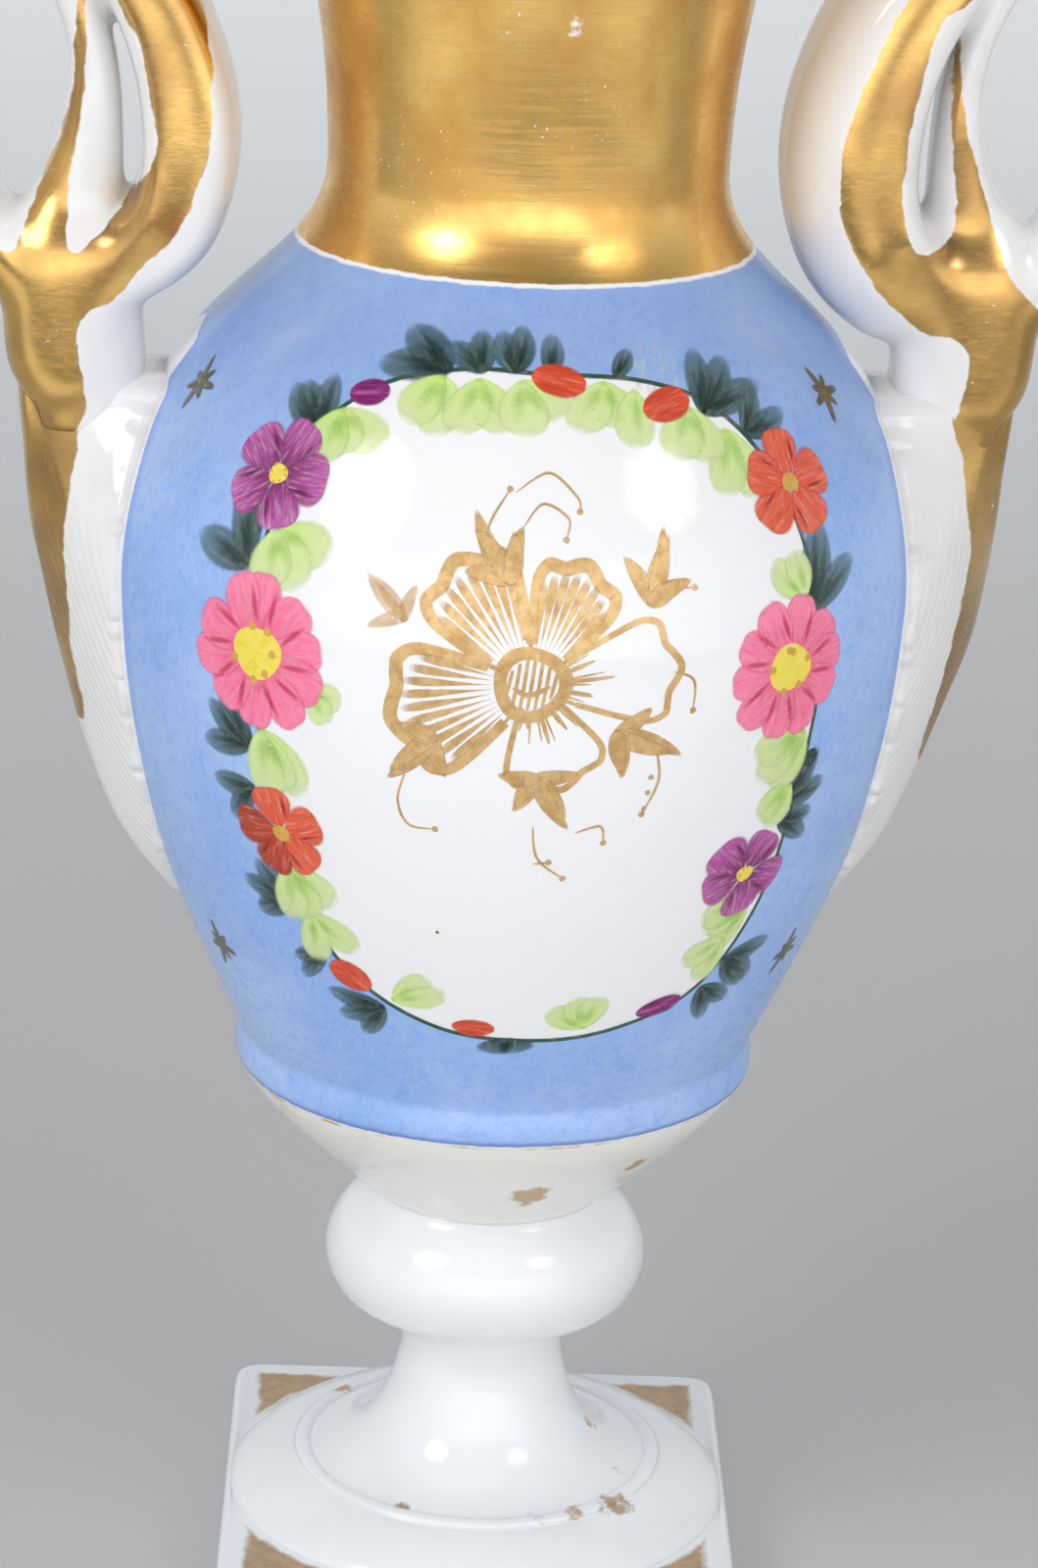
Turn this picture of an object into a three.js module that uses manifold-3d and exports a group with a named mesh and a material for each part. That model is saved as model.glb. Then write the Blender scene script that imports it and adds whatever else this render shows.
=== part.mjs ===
// Two-handled porcelain amphora: a hollow vase body with scroll handles, cemented on a hollow pedestal foot.
// Millimetres, +Z up, the front faces -Y. The origin is the middle of the plinth's underside.
import * as THREE from 'three';
import { ConvexGeometry } from 'three/addons/geometries/ConvexGeometry.js';
import { mergeVertices } from 'three/addons/utils/BufferGeometryUtils.js';
import Module from 'manifold-3d';

// Pedestal foot
const plinthWidth = 81;
const plinthHeight = 11;
const plinthEdgeRound = 1.2;
const domeHeight = 6;
const beadRingRadius = 28.2;
const beadRadius = 1.4;
const stemHeight = 26;
const stemRadius = 12.8;
const knopHeight = 20.6;
const knopRadius = 25.5;
const knopEdgeRadius = 22.4;
const jointRadius = 18.6;
const footWall = 4.2;
const footTurn = -3; // degrees; the foot was cemented a little askew to the vase
const jointClearance = 0.3;

// Vase body
const bowlHeight = 23.4;
const bulgeRadius = 40.5;
const kinkHeight = 3.6;
const kinkRadius = 39.8;
const lowerBellyHeight = 75;
const bellyRadius = 63;
const upperBellyHeight = 35;
const shoulderRadius = 48.4;
const neckFootHeight = 25.5;
const throatRadius = 29.8;
const neckHeight = 61.5;
const lipRadius = 47.6;
const bodyWall = 3.8;
const bodyFloor = 6.5;

// How far each curve's handles reach, as shares of its stretch across and up
const bowlSwell = { across: 0.4, up: 0.34, down: 0.22 };
const kinkSwell = { up: 0.5, down: 0.35 };
const lowerSwell = { across: 0.36, up: 0.23, down: 0.35 };
const upperSwell = { up: 0.34 };
const throatSwell = { down: 0.43 };
const neckSwell = { up: 0.33, across: 0.29, upper: 0.77 };
const floorSwell = { inner: 0.35, outer: 0.75, up: 0.35 };
const domeSwell = { up: 0.45, down: 0.16 };
const stemSwell = { across: 0.42, low: 0.1, high: 0.55 };
const knopSwell = { low: 0.25, widest: 0.38, high: 0.7 };
const boreSwell = { across: 0.4, low: 0.4, high: 0.45 };
const knopBoreSwell = { across: 0.7, low: 0.35, high: 0.6 };
const shoulderLean = [-0.65, 0.76]; // the wall's direction at the shoulder, across and up
const shoulderReachDown = 10;
const shoulderReachUp = 12;

// Handles: depth is the half size along Y, and edge is the rounding of the front and back rims
const bandDepth = 15;
const bandEdge = 3.6;
const tineDepth = 8;
const tineEdge = 1.7;
const hoopDepth = 9;
const hoopEdge = 2.6;
const cupDepth = 11.5;
const cupEdge = 3.2;
const strutDepth = 10;
const strutEdge = 3;
const bridgeDrop = 13.5;
const bridgeRun = 12;
const bridgeRise = 0.5;
const bridgeHalf = 5;
const leftLeafTrim = 0.82;
const rightLeafTrim = 1.16;

// Facets
const bodySides = 40;
const footSides = 36;
const bandSteps = 14;
const tineSteps = 9;
const hoopSteps = 18;
const cupSteps = 9;
const strutSteps = 5;
const rimShare = 0.75; // how far a rounded rim comes in, as a share of its depth
const weldDistance = 1e-4;
const straightness = 1e-3; // the least sine of a corner that is kept

// Heights up the axis, each stage standing on the one below
const domeTop = plinthHeight + domeHeight;
const stemTop = domeTop + stemHeight;
const footTop = stemTop + knopHeight;
const bodyBottom = footTop + jointClearance;
const bulgeLevel = bodyBottom + bowlHeight;
const kinkLevel = bulgeLevel + kinkHeight;
const bellyLevel = kinkLevel + lowerBellyHeight;
const shoulderLevel = bellyLevel + upperBellyHeight;
const throatLevel = shoulderLevel + neckFootHeight;
const lipLevel = throatLevel + neckHeight;

const wasm = await Module();
wasm.setup();

function solidOf(geometry) {
  const bare = geometry.index ? geometry.clone() : geometry;
  bare.deleteAttribute('normal');
  bare.deleteAttribute('uv');
  const welded = mergeVertices(bare, weldDistance);
  return new wasm.Manifold(new wasm.Mesh({
    numProp: 3,
    vertProperties: new Float32Array(welded.attributes.position.array),
    triVerts: new Uint32Array(welded.index.array),
  }));
}

function geometryOf(solid) {
  const { numProp, vertProperties, triVerts } = solid.getMesh();
  const positions = new Float32Array((vertProperties.length / numProp) * 3);
  for (let vertex = 0; vertex < positions.length / 3; vertex += 1) {
    for (let axis = 0; axis < 3; axis += 1) {
      positions[vertex * 3 + axis] = vertProperties[vertex * numProp + axis];
    }
  }
  const geometry = new THREE.BufferGeometry();
  geometry.setAttribute('position', new THREE.BufferAttribute(positions, 3));
  geometry.setIndex(new THREE.BufferAttribute(new Uint32Array(triVerts), 1));
  geometry.computeVertexNormals();
  return geometry;
}

function curve(from, fromHandle, toHandle, to, steps) {
  const bezier = new THREE.CubicBezierCurve(
    new THREE.Vector2(...from),
    new THREE.Vector2(...fromHandle),
    new THREE.Vector2(...toHandle),
    new THREE.Vector2(...to),
  );
  return bezier.getPoints(steps).slice(1);
}

// Turns a profile of radius and height about +Z; the profile runs from the axis at the bottom to the axis above
function turned(profile, sides) {
  const geometry = new THREE.LatheGeometry(profile, sides);
  geometry.rotateX(Math.PI / 2);
  return solidOf(geometry);
}

// Outer line of the vase, from the joint up to the lip
function bodyLine(steps) {
  const belly = [bellyRadius, bellyLevel];
  const shoulder = [shoulderRadius, shoulderLevel];
  const throat = [throatRadius, throatLevel];
  const below = shoulder.map((value, axis) => value - shoulderReachDown * shoulderLean[axis]);
  const above = shoulder.map((value, axis) => value + shoulderReachUp * shoulderLean[axis]);
  const kinkReach = (bellyRadius - kinkRadius) * lowerSwell.across;
  return [
    new THREE.Vector2(jointRadius, bodyBottom),
    ...curve(
      [jointRadius, bodyBottom],
      [jointRadius + (bulgeRadius - jointRadius) * bowlSwell.across, bodyBottom + bowlHeight * bowlSwell.up],
      [bulgeRadius, bulgeLevel - bowlHeight * bowlSwell.down],
      [bulgeRadius, bulgeLevel],
      5 * steps,
    ),
    ...curve(
      [bulgeRadius, bulgeLevel],
      [bulgeRadius, bulgeLevel + kinkHeight * kinkSwell.up],
      [kinkRadius, kinkLevel - kinkHeight * kinkSwell.down],
      [kinkRadius, kinkLevel],
      2 * steps,
    ),
    ...curve(
      [kinkRadius, kinkLevel],
      [kinkRadius + kinkReach, kinkLevel + lowerBellyHeight * lowerSwell.up],
      [bellyRadius, bellyLevel - lowerBellyHeight * lowerSwell.down],
      belly,
      6 * steps,
    ),
    ...curve(
      belly,
      [bellyRadius, bellyLevel + upperBellyHeight * upperSwell.up],
      below,
      shoulder,
      4 * steps,
    ),
    ...curve(
      shoulder,
      above,
      [throatRadius, throatLevel - neckFootHeight * throatSwell.down],
      throat,
      4 * steps,
    ),
    ...curve(
      throat,
      [throatRadius, throatLevel + neckHeight * neckSwell.up],
      [
        throatRadius + (lipRadius - throatRadius) * neckSwell.across,
        throatLevel + neckHeight * neckSwell.upper,
      ],
      [lipRadius, lipLevel],
      6 * steps,
    ),
  ];
}

// The same line moved square to itself towards the hollow
function insetLine(line, distance) {
  return line.map((point, index) => {
    const before = line[Math.max(index - 1, 0)];
    const after = line[Math.min(index + 1, line.length - 1)];
    const along = after.clone().sub(before).normalize();
    return new THREE.Vector2(point.x - along.y * distance, point.y + along.x * distance);
  });
}

function outerRadiusAt(level) {
  const line = bodyLine(4);
  const next = line.findIndex((point) => point.y >= level);
  const upper = line[Math.max(next, 1)];
  const lower = line[Math.max(next, 1) - 1];
  return THREE.MathUtils.mapLinear(level, lower.y, upper.y, lower.x, upper.x);
}

// The lip is a half round as thick as the wall
function lipArc(outer, inner) {
  const middle = outer.clone().add(inner).multiplyScalar(0.5);
  const spoke = outer.clone().sub(middle);
  return [45, 90, 135].map((angle) => {
    const turn = THREE.MathUtils.degToRad(angle);
    return middle.clone().add(spoke.clone().rotateAround(new THREE.Vector2(), turn));
  });
}

function bodyShell() {
  const line = bodyLine(1);
  const hollowLine = insetLine(line, bodyWall).filter((point) => point.y > kinkLevel);
  const arc = lipArc(line.at(-1), hollowLine.at(-1));
  const mouthMiddle = new THREE.Vector2(0, arc.at(-1).y);
  return turned([new THREE.Vector2(0, bodyBottom), ...line, ...arc, mouthMiddle], bodySides);
}

function bodyHollow() {
  const line = bodyLine(1);
  const wallLine = insetLine(line, bodyWall).filter((point) => point.y > kinkLevel);
  const arc = lipArc(line.at(-1), wallLine.at(-1));
  const floorLevel = bodyBottom + bodyFloor;
  const foot = wallLine[0];
  const floor = curve(
    [0, floorLevel],
    [foot.x * floorSwell.inner, floorLevel],
    [foot.x * floorSwell.outer, floorLevel + (foot.y - floorLevel) * floorSwell.up],
    [foot.x, foot.y],
    5,
  );
  const top = arc.at(-1);
  return turned(
    [
      new THREE.Vector2(0, floorLevel),
      ...floor,
      ...wallLine.slice(1),
      top,
      new THREE.Vector2(top.x, top.y + bodyWall),
      new THREE.Vector2(0, top.y + bodyWall),
    ],
    bodySides,
  );
}

// A corner on a straight stretch is dropped, so that a cap and its rim share every corner
function withoutStraightCorners(points) {
  return points.filter((point, index) => {
    const before = points[(index + points.length - 1) % points.length];
    const after = points[(index + 1) % points.length];
    const arriving = point.clone().sub(before).normalize();
    const leaving = after.clone().sub(point).normalize();
    return Math.abs(arriving.cross(leaving)) > straightness;
  });
}

// A flat ribbon in the handle's plane, its stations given as distance out, height and half width,
// with its front and back rims rounded
function ribbon(stations, halfDepth, edge, samples) {
  const middle = new THREE.SplineCurve(stations.map(([out, up]) => new THREE.Vector2(out, up)));
  const widths = new THREE.SplineCurve(stations.map(([, , half], index) => new THREE.Vector2(index, half)));
  const near = [];
  const far = [];
  for (let step = 0; step <= samples; step += 1) {
    const at = step / samples;
    const point = middle.getPoint(at);
    const along = middle.getTangent(at);
    const half = widths.getPoint(at).y;
    near.push(new THREE.Vector2(point.x - along.y * half, point.y + along.x * half));
    far.push(new THREE.Vector2(point.x + along.y * half, point.y - along.x * half));
  }
  const outline = withoutStraightCorners([...near, ...far.reverse()]);
  const geometry = new THREE.ExtrudeGeometry(new THREE.Shape(outline), {
    depth: 2 * (halfDepth - edge),
    bevelThickness: edge,
    bevelSize: edge * rimShare,
    bevelOffset: -edge * rimShare,
    bevelSegments: 2,
  });
  geometry.translate(0, 0, -(halfDepth - edge));
  geometry.rotateX(Math.PI / 2);
  return solidOf(geometry);
}

// The keeled leaf down the belly: a blunt ridge in the handle's plane, with flanks that fall to the wall.
// Each station is a height above the belly's widest level, the ridge's rise off the wall, the ridge's
// half width and the angle from the ridge to the leaf's edge.
const leafStations = [
  [28.5, 21.5, 5.0, 12],
  [24, 18.5, 4.6, 15],
  [14, 13.2, 4.3, 20],
  [-1, 8.2, 3.6, 23],
  [-16, 6.4, 2.8, 22.5],
  [-31, 6.2, 2.0, 19.5],
  [-44, 5.2, 1.3, 13],
  [-55, 1.2, 0.4, 2.5],
];

function leaf(frontTrim) {
  const wallDepth = bodyWall / 2;
  const sections = leafStations.map(([up, rise, ridgeHalf, edgeAngle]) => {
    const level = bellyLevel + up;
    const radius = outerRadiusAt(level);
    const front = THREE.MathUtils.degToRad(edgeAngle * frontTrim);
    const back = THREE.MathUtils.degToRad(edgeAngle);
    const ridge = radius + rise;
    return [
      new THREE.Vector3(ridge, -ridgeHalf, level),
      new THREE.Vector3(ridge, ridgeHalf, level),
      new THREE.Vector3(radius * Math.cos(front), -radius * Math.sin(front), level),
      new THREE.Vector3(radius * Math.cos(back), radius * Math.sin(back), level),
      new THREE.Vector3((radius - wallDepth) * Math.cos(front), -(radius - wallDepth) * Math.sin(front), level),
      new THREE.Vector3((radius - wallDepth) * Math.cos(back), (radius - wallDepth) * Math.sin(back), level),
    ];
  });
  const pieces = sections.slice(1).map((section, index) => {
    return solidOf(new ConvexGeometry([...sections[index], ...section]));
  });
  return pieces.reduce((whole, piece) => whole.add(piece));
}

// One handle, on the +X side: a leaf on the belly, a cup, and three tines that meet in a hoop below the lip.
// Stations are distances out from the belly's widest circle and heights above it.
function handle(frontTrim) {
  const place = (stations) => {
    return stations.map(([out, up, half]) => [bellyRadius + out, bellyLevel + up, half]);
  };
  const band = ribbon(
    place([
      [4, 41, 6.2],
      [-4.8, 45.2, 7],
      [-10.6, 50.6, 7.4],
      [-13.2, 58.4, 7.7],
      [-13.4, 67, 7.9],
      [-11.5, 76, 7.5],
      [-7.6, 85, 6.9],
      [-2, 92.5, 6],
      [5.5, 98.5, 5],
    ]),
    bandDepth,
    bandEdge,
    bandSteps,
  );
  const tine = ribbon(
    place([
      [5.5, 40, 6.2],
      [3.2, 48.5, 5.4],
      [1.1, 57, 4.4],
      [0.4, 65, 3.4],
      [0.6, 73, 2.9],
      [2, 80, 2.7],
      [4.6, 87, 2.8],
      [8.5, 95, 3.2],
    ]),
    tineDepth,
    tineEdge,
    tineSteps,
  );
  const bridgeEnd = [throatRadius, lipLevel - bridgeDrop, bridgeHalf];
  const hoop = ribbon(
    [
      ...place([
        [9, 40, 5.4],
        [15, 47, 5],
        [19.3, 55.5, 4.6],
        [21.3, 65, 4.4],
        [21.2, 75, 4.2],
        [19, 84.5, 4.1],
        [14.8, 92.5, 4.2],
        [9, 98.5, 4.5],
        [1, 103.5, 4.8],
        [-9, 108, 5],
      ]),
      [throatRadius + bridgeRun, lipLevel - bridgeDrop + bridgeRise, bridgeHalf],
      bridgeEnd,
    ],
    hoopDepth,
    hoopEdge,
    hoopSteps,
  );
  const cup = ribbon(
    place([
      [3.6, 23.5, 6.4],
      [4.2, 26.5, 7.4],
      [4.5, 30, 9.6],
      [4.5, 37, 10],
      [4.5, 44, 10],
      [4.4, 50, 8.8],
      [4.2, 56, 5.8],
    ]),
    cupDepth,
    cupEdge,
    cupSteps,
  );
  const strut = ribbon(
    place([
      [1.2, 20, 8],
      [1.6, 28, 8.6],
      [2.2, 36, 8.6],
      [3, 43, 7],
    ]),
    strutDepth,
    strutEdge,
    strutSteps,
  );
  return leaf(frontTrim).add(cup).add(strut).add(band).add(tine).add(hoop);
}

function vaseBody() {
  const right = handle(rightLeafTrim);
  const left = handle(leftLeafTrim).mirror([1, 0, 0]);
  return bodyShell().add(right).add(left).subtract(bodyHollow());
}

// Outer line of the foot above the plinth, from its rim up to the joint
function footLine() {
  const rim = plinthWidth / 2;
  const beadLevel = domeTop - beadRadius * 0.3;
  const beadOut = [beadRingRadius + beadRadius, beadLevel];
  const beadIn = [beadRingRadius - beadRadius, domeTop];
  return [
    new THREE.Vector2(rim, plinthHeight),
    ...curve(
      [rim, plinthHeight],
      [rim - 1, plinthHeight + domeHeight * domeSwell.up],
      [beadOut[0] + 3, beadLevel - domeHeight * domeSwell.down],
      beadOut,
      3,
    ),
    new THREE.Vector2(beadRingRadius + beadRadius * 0.5, beadLevel + beadRadius * 0.9),
    new THREE.Vector2(beadRingRadius - beadRadius * 0.4, beadLevel + beadRadius),
    new THREE.Vector2(...beadIn),
    ...curve(
      beadIn,
      [stemRadius + (beadIn[0] - stemRadius) * stemSwell.across, domeTop + stemHeight * stemSwell.low],
      [stemRadius, domeTop + stemHeight * stemSwell.high],
      [stemRadius, stemTop],
      6,
    ),
    ...curve(
      [knopEdgeRadius - 1.2, stemTop + 1.3],
      [knopEdgeRadius + 1.4, stemTop + 2.2],
      [knopRadius, stemTop + knopHeight * knopSwell.low],
      [knopRadius, stemTop + knopHeight * knopSwell.widest],
      3,
    ),
    ...curve(
      [knopRadius, stemTop + knopHeight * knopSwell.widest],
      [knopRadius, stemTop + knopHeight * knopSwell.high],
      [jointRadius + 3, footTop - 1.6],
      [jointRadius, footTop],
      5,
    ),
  ];
}

function pedestalFoot() {
  const line = footLine();
  const overlap = 2;
  const seat = plinthHeight - overlap;
  const turnedPart = turned(
    [
      new THREE.Vector2(0, seat),
      new THREE.Vector2(plinthWidth / 2, seat),
      ...line,
      new THREE.Vector2(0, footTop),
    ],
    footSides,
  );
  const half = plinthWidth / 2;
  const square = new THREE.Shape([
    new THREE.Vector2(-half, -half),
    new THREE.Vector2(half, -half),
    new THREE.Vector2(half, half),
    new THREE.Vector2(-half, half),
  ]);
  const plinthGeometry = new THREE.ExtrudeGeometry(square, {
    depth: plinthHeight - 2 * plinthEdgeRound,
    bevelThickness: plinthEdgeRound,
    bevelSize: plinthEdgeRound,
    bevelOffset: -plinthEdgeRound,
    bevelSegments: 2,
  });
  plinthGeometry.translate(0, 0, plinthEdgeRound);
  const inside = plinthWidth - 2 * footWall;
  const ceiling = plinthHeight - footWall;
  const squareHollow = new THREE.BoxGeometry(inside, inside, 2 * ceiling);
  const bore = stemRadius - footWall;
  const knopBore = knopRadius - footWall;
  const roundHollow = turned(
    [
      new THREE.Vector2(0, ceiling - 1),
      new THREE.Vector2(beadRingRadius - footWall, ceiling - 1),
      new THREE.Vector2(beadRingRadius - footWall, ceiling),
      ...curve(
        [beadRingRadius - footWall, ceiling],
        [bore + (beadRingRadius - footWall - bore) * boreSwell.across, domeTop - footWall * boreSwell.low],
        [bore, domeTop + stemHeight * boreSwell.high],
        [bore, stemTop],
        4,
      ),
      new THREE.Vector2(bore, stemTop + footWall),
      ...curve(
        [knopBore * knopBoreSwell.across, stemTop + footWall + 1],
        [knopBore, stemTop + knopHeight * knopBoreSwell.low],
        [knopBore, stemTop + knopHeight * knopBoreSwell.high],
        [jointRadius - footWall, footTop - footWall],
        3,
      ),
      new THREE.Vector2(0, footTop - footWall),
    ],
    footSides / 2,
  );
  const whole = turnedPart.add(solidOf(plinthGeometry)).subtract(solidOf(squareHollow)).subtract(roundHollow);
  return whole.rotate([0, 0, footTurn]);
}

function piece(name, solid, look) {
  const mesh = new THREE.Mesh(geometryOf(solid), new THREE.MeshStandardMaterial(look));
  mesh.name = name;
  return mesh;
}

const amphora = new THREE.Group();
amphora.add(piece('vase_body', vaseBody(), { color: 0x7d9fe0, roughness: 0.16, metalness: 0 }));
amphora.add(piece('pedestal_foot', pedestalFoot(), { color: 0xeef1f4, roughness: 0.16, metalness: 0 }));

export default amphora;
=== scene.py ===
import bpy
import math
import numpy as np
from mathutils import Matrix, Vector


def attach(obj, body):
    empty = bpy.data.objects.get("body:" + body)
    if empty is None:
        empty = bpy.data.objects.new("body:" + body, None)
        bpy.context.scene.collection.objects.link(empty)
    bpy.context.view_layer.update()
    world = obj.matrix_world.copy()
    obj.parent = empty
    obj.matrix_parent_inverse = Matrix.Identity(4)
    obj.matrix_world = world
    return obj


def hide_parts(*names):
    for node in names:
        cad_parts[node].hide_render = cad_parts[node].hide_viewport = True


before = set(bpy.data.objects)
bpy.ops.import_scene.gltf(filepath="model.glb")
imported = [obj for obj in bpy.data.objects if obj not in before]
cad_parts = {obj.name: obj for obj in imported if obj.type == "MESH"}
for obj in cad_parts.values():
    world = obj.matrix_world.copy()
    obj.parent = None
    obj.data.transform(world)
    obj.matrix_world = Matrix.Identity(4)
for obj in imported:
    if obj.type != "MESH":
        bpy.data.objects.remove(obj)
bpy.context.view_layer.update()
mm = 0.001
dice = np.random.default_rng(7)


def tint(red, green, blue):
    # an sRGB colour from 0 to 255 as the linear colour that the shaders take
    c = np.array([red, green, blue]) / 255
    lin = np.where(c < 0.04045, c / 12.92, ((c + 0.055) / 1.055) ** 2.4)
    return (float(lin[0]), float(lin[1]), float(lin[2]), 1.0)


# Lines and meshes, all worked out in millimetres


def bezier(p0, p1, p2, p3, count):
    # the cubic through p0 and p3 with handles p1 and p2, without its last point
    t = np.linspace(0, 1, count, endpoint=False)[:, None]
    p0, p1, p2, p3 = (np.array(p, float) for p in (p0, p1, p2, p3))
    return (1 - t) ** 3 * p0 + 3 * (1 - t) ** 2 * t * p1 + 3 * (1 - t) * t ** 2 * p2 + t ** 3 * p3


def throughPoints(stations, count, closed=False):
    # Catmull-Rom through the stations: each stretch is a cubic, its slopes half the chord of its neighbours
    p = np.array(stations, float)
    n = len(p)
    t = np.linspace(0, n if closed else n - 1, count, endpoint=not closed)
    i = np.minimum(t.astype(int), n - 1 if closed else n - 2)
    f = (t - i)[:, None]
    pick = (lambda k: p[k % n]) if closed else (lambda k: p[np.clip(k, 0, n - 1)])
    a, b, c, d = pick(i - 1), pick(i), pick(i + 1), pick(i + 2)
    square, cube = 2 * a - 5 * b + 4 * c - d, 3 * b - a - 3 * c + d
    return 0.5 * (2 * b + (c - a) * f + square * f ** 2 + cube * f ** 3)


def gridFaces(rows, columns, around=True):
    # the quads between neighbouring rows and columns, the last column joined to the first if it goes around
    r, c = np.meshgrid(np.arange(rows - 1), np.arange(columns if around else columns - 1), indexing="ij")
    low, high, n = r * columns, (r + 1) * columns, (c + 1) % columns
    return np.stack([low + c, low + n, high + n, high + c], -1).reshape(-1, 4)


def gridOf(x, y, z):
    # three arrays of lengths stretched to one grid of points
    return np.stack(np.broadcast_arrays(x, y, z), -1)


def closedTube(grid):
    # a grid of rings closed by a middle point at each end: returns points and faces
    rows, columns = grid.shape[:2]
    points = np.vstack([grid.reshape(-1, 3), grid[0].mean(0), grid[-1].mean(0)])
    c = np.arange(columns)
    n = (c + 1) % columns
    last = (rows - 1) * columns
    low = np.stack([np.full(columns, rows * columns), n, c], -1)
    high = np.stack([last + c, last + n, np.full(columns, rows * columns + 1)], -1)
    return points, gridFaces(rows, columns).tolist() + low.tolist() + high.tolist()


def onSide(side, points, faces):
    # what is drawn for the right side, mirrored and its faces turned over for the left
    if side == "right":
        return points, faces
    return points * (-1, 1, 1), [f[::-1] for f in faces]


def smoothed(mesh):
    mesh.polygons.foreach_set("use_smooth", np.ones(len(mesh.polygons), bool))


def putMesh(name, points, faces, material):
    mesh = bpy.data.meshes.new(name)
    faces = faces if isinstance(faces, list) else faces.tolist()
    mesh.from_pydata((np.asarray(points) * mm).tolist(), [], faces)
    smoothed(mesh)
    mesh.update()
    piece = bpy.data.objects.new(name, mesh)
    bpy.context.scene.collection.objects.link(piece)
    mesh.materials.append(material)
    return piece


def putNumbers(piece, name, values, kind="FLOAT"):
    # one value, colour or vector for each point of the mesh, for the shader to read
    field = {"FLOAT": "value", "FLOAT_COLOR": "color", "FLOAT_VECTOR": "vector"}[kind]
    made = piece.data.attributes.new(name, kind, "POINT")
    made.data.foreach_set(field, np.asarray(values, np.float32).ravel())


def pointsOf(piece):
    co = np.empty(len(piece.data.vertices) * 3, np.float32)
    piece.data.vertices.foreach_get("co", co)
    return co.reshape(-1, 3).astype(float) / mm


def insideDistance(x, y, outline):
    # how far each point lies inside a closed outline, less than nothing outside it
    a = np.array(outline, float)
    b = np.roll(a, -1, axis=0)
    p = np.stack([x, y], -1)[:, None, :]
    edge = b - a
    t = np.clip(((p - a) * edge).sum(-1) / (edge ** 2).sum(-1), 0, 1)
    gap = np.sqrt((((a + t[..., None] * edge) - p) ** 2).sum(-1)).min(1)
    crosses = (a[:, 1] > p[..., 1]) != (b[:, 1] > p[..., 1])
    rise = np.where(np.abs(edge[:, 1]) < 1e-9, 1e-9, edge[:, 1])
    hits = crosses & (p[..., 0] < a[:, 0] + (p[..., 1] - a[:, 1]) * edge[:, 0] / rise)
    return np.where(hits.sum(1) % 2 == 1, gap, -gap)


# Shader building


class Shader:
    # a material's nodes: each method adds one or more and gives back the socket to read
    def __init__(self, name):
        self.material = bpy.data.materials.new(name)
        self.material.use_nodes = True
        self.tree = self.material.node_tree
        self.out = self.tree.nodes["Principled BSDF"]
        self.place = self.add("ShaderNodeTexCoord").outputs["Object"]

    def add(self, kind, sockets=None, **settings):
        made = self.tree.nodes.new(kind)
        for key, value in settings.items():
            setattr(made, key, value)
        for key, value in (sockets or {}).items():
            self.set(made.inputs[key], value)
        return made

    def set(self, socket, value):
        if isinstance(value, bpy.types.NodeSocket):
            self.tree.links.new(value, socket)
        else:
            socket.default_value = value

    def math(self, operation, a, b):
        return self.add("ShaderNodeMath", {0: a, 1: b}, operation=operation).outputs[0]

    def times(self, a, b):
        return self.math("MULTIPLY", a, b)

    def plus(self, a, b):
        return self.math("ADD", a, b)

    def larger(self, a, b):
        return self.math("MAXIMUM", a, b)

    def rest(self, a):
        # what is left of one
        return self.math("SUBTRACT", 1.0, a)

    def ramp(self, value, low, high, toLow=0.0, toHigh=1.0):
        # an eased step from toLow to toHigh while the value goes from low to high
        return self.add("ShaderNodeMapRange", {0: value, 1: low, 2: high, 3: toLow, 4: toHigh},
                        interpolation_type="SMOOTHSTEP").outputs[0]

    def fall(self, value, low, high, most=1.0):
        return self.ramp(value, low, high, most, 0.0)

    def mix(self, amount, a, b):
        return self.add("ShaderNodeMix", {0: amount, 6: a, 7: b}, data_type="RGBA").outputs[2]

    def blend(self, amount, a, b):
        return self.add("ShaderNodeMix", {0: amount, 2: a, 3: b}, data_type="FLOAT").outputs[0]

    def over(self, colour, *layers):
        # each layer, as (amount, colour), laid over the ones before it
        for amount, layer in layers:
            colour = self.mix(amount, colour, layer)
        return colour

    def read(self, name, socket="Fac"):
        return self.add("ShaderNodeAttribute", attribute_name=name).outputs[socket]

    def split(self, axis):
        return self.add("ShaderNodeSeparateXYZ", {0: self.place}).outputs[axis]

    def noise(self, vector, scale, detail, rough, warp=0.0):
        return self.add("ShaderNodeTexNoise", {"Vector": vector, "Scale": scale, "Detail": detail,
                                               "Roughness": rough, "Distortion": warp}).outputs["Fac"]

    def cloud(self, scale, detail, rough, warp=0.0):
        return self.noise(self.place, scale, detail, rough, warp)

    def grain(self, scale, detail, rough, turn=(0, 0, 0), vector=None):
        # noise drawn out along its axes
        drawn = {"Vector": vector or self.place, "Scale": scale, "Rotation": turn}
        return self.noise(self.add("ShaderNodeMapping", drawn).outputs[0], 1.0, detail, rough)

    def ragged(self, scale, detail, rough, amount):
        # noise about nought, to roughen an edge
        return self.times(self.plus(self.cloud(scale, detail, rough), -0.5), amount)

    def bump(self, height, distance, under=None):
        made = self.add("ShaderNodeBump", {"Height": height, "Distance": distance, "Strength": 1.0})
        if under is not None:
            self.tree.links.new(under, made.inputs["Normal"])
        return made.outputs[0]

    def shine(self, strength):
        glow = self.add("ShaderNodeEmission", {"Strength": strength})
        self.tree.links.new(glow.outputs[0], self.tree.nodes["Material Output"].inputs["Surface"])

    def finish(self, **values):
        for key, value in values.items():
            self.set(self.out.inputs[key.replace("_", " ")], value)
        return self.material


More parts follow.
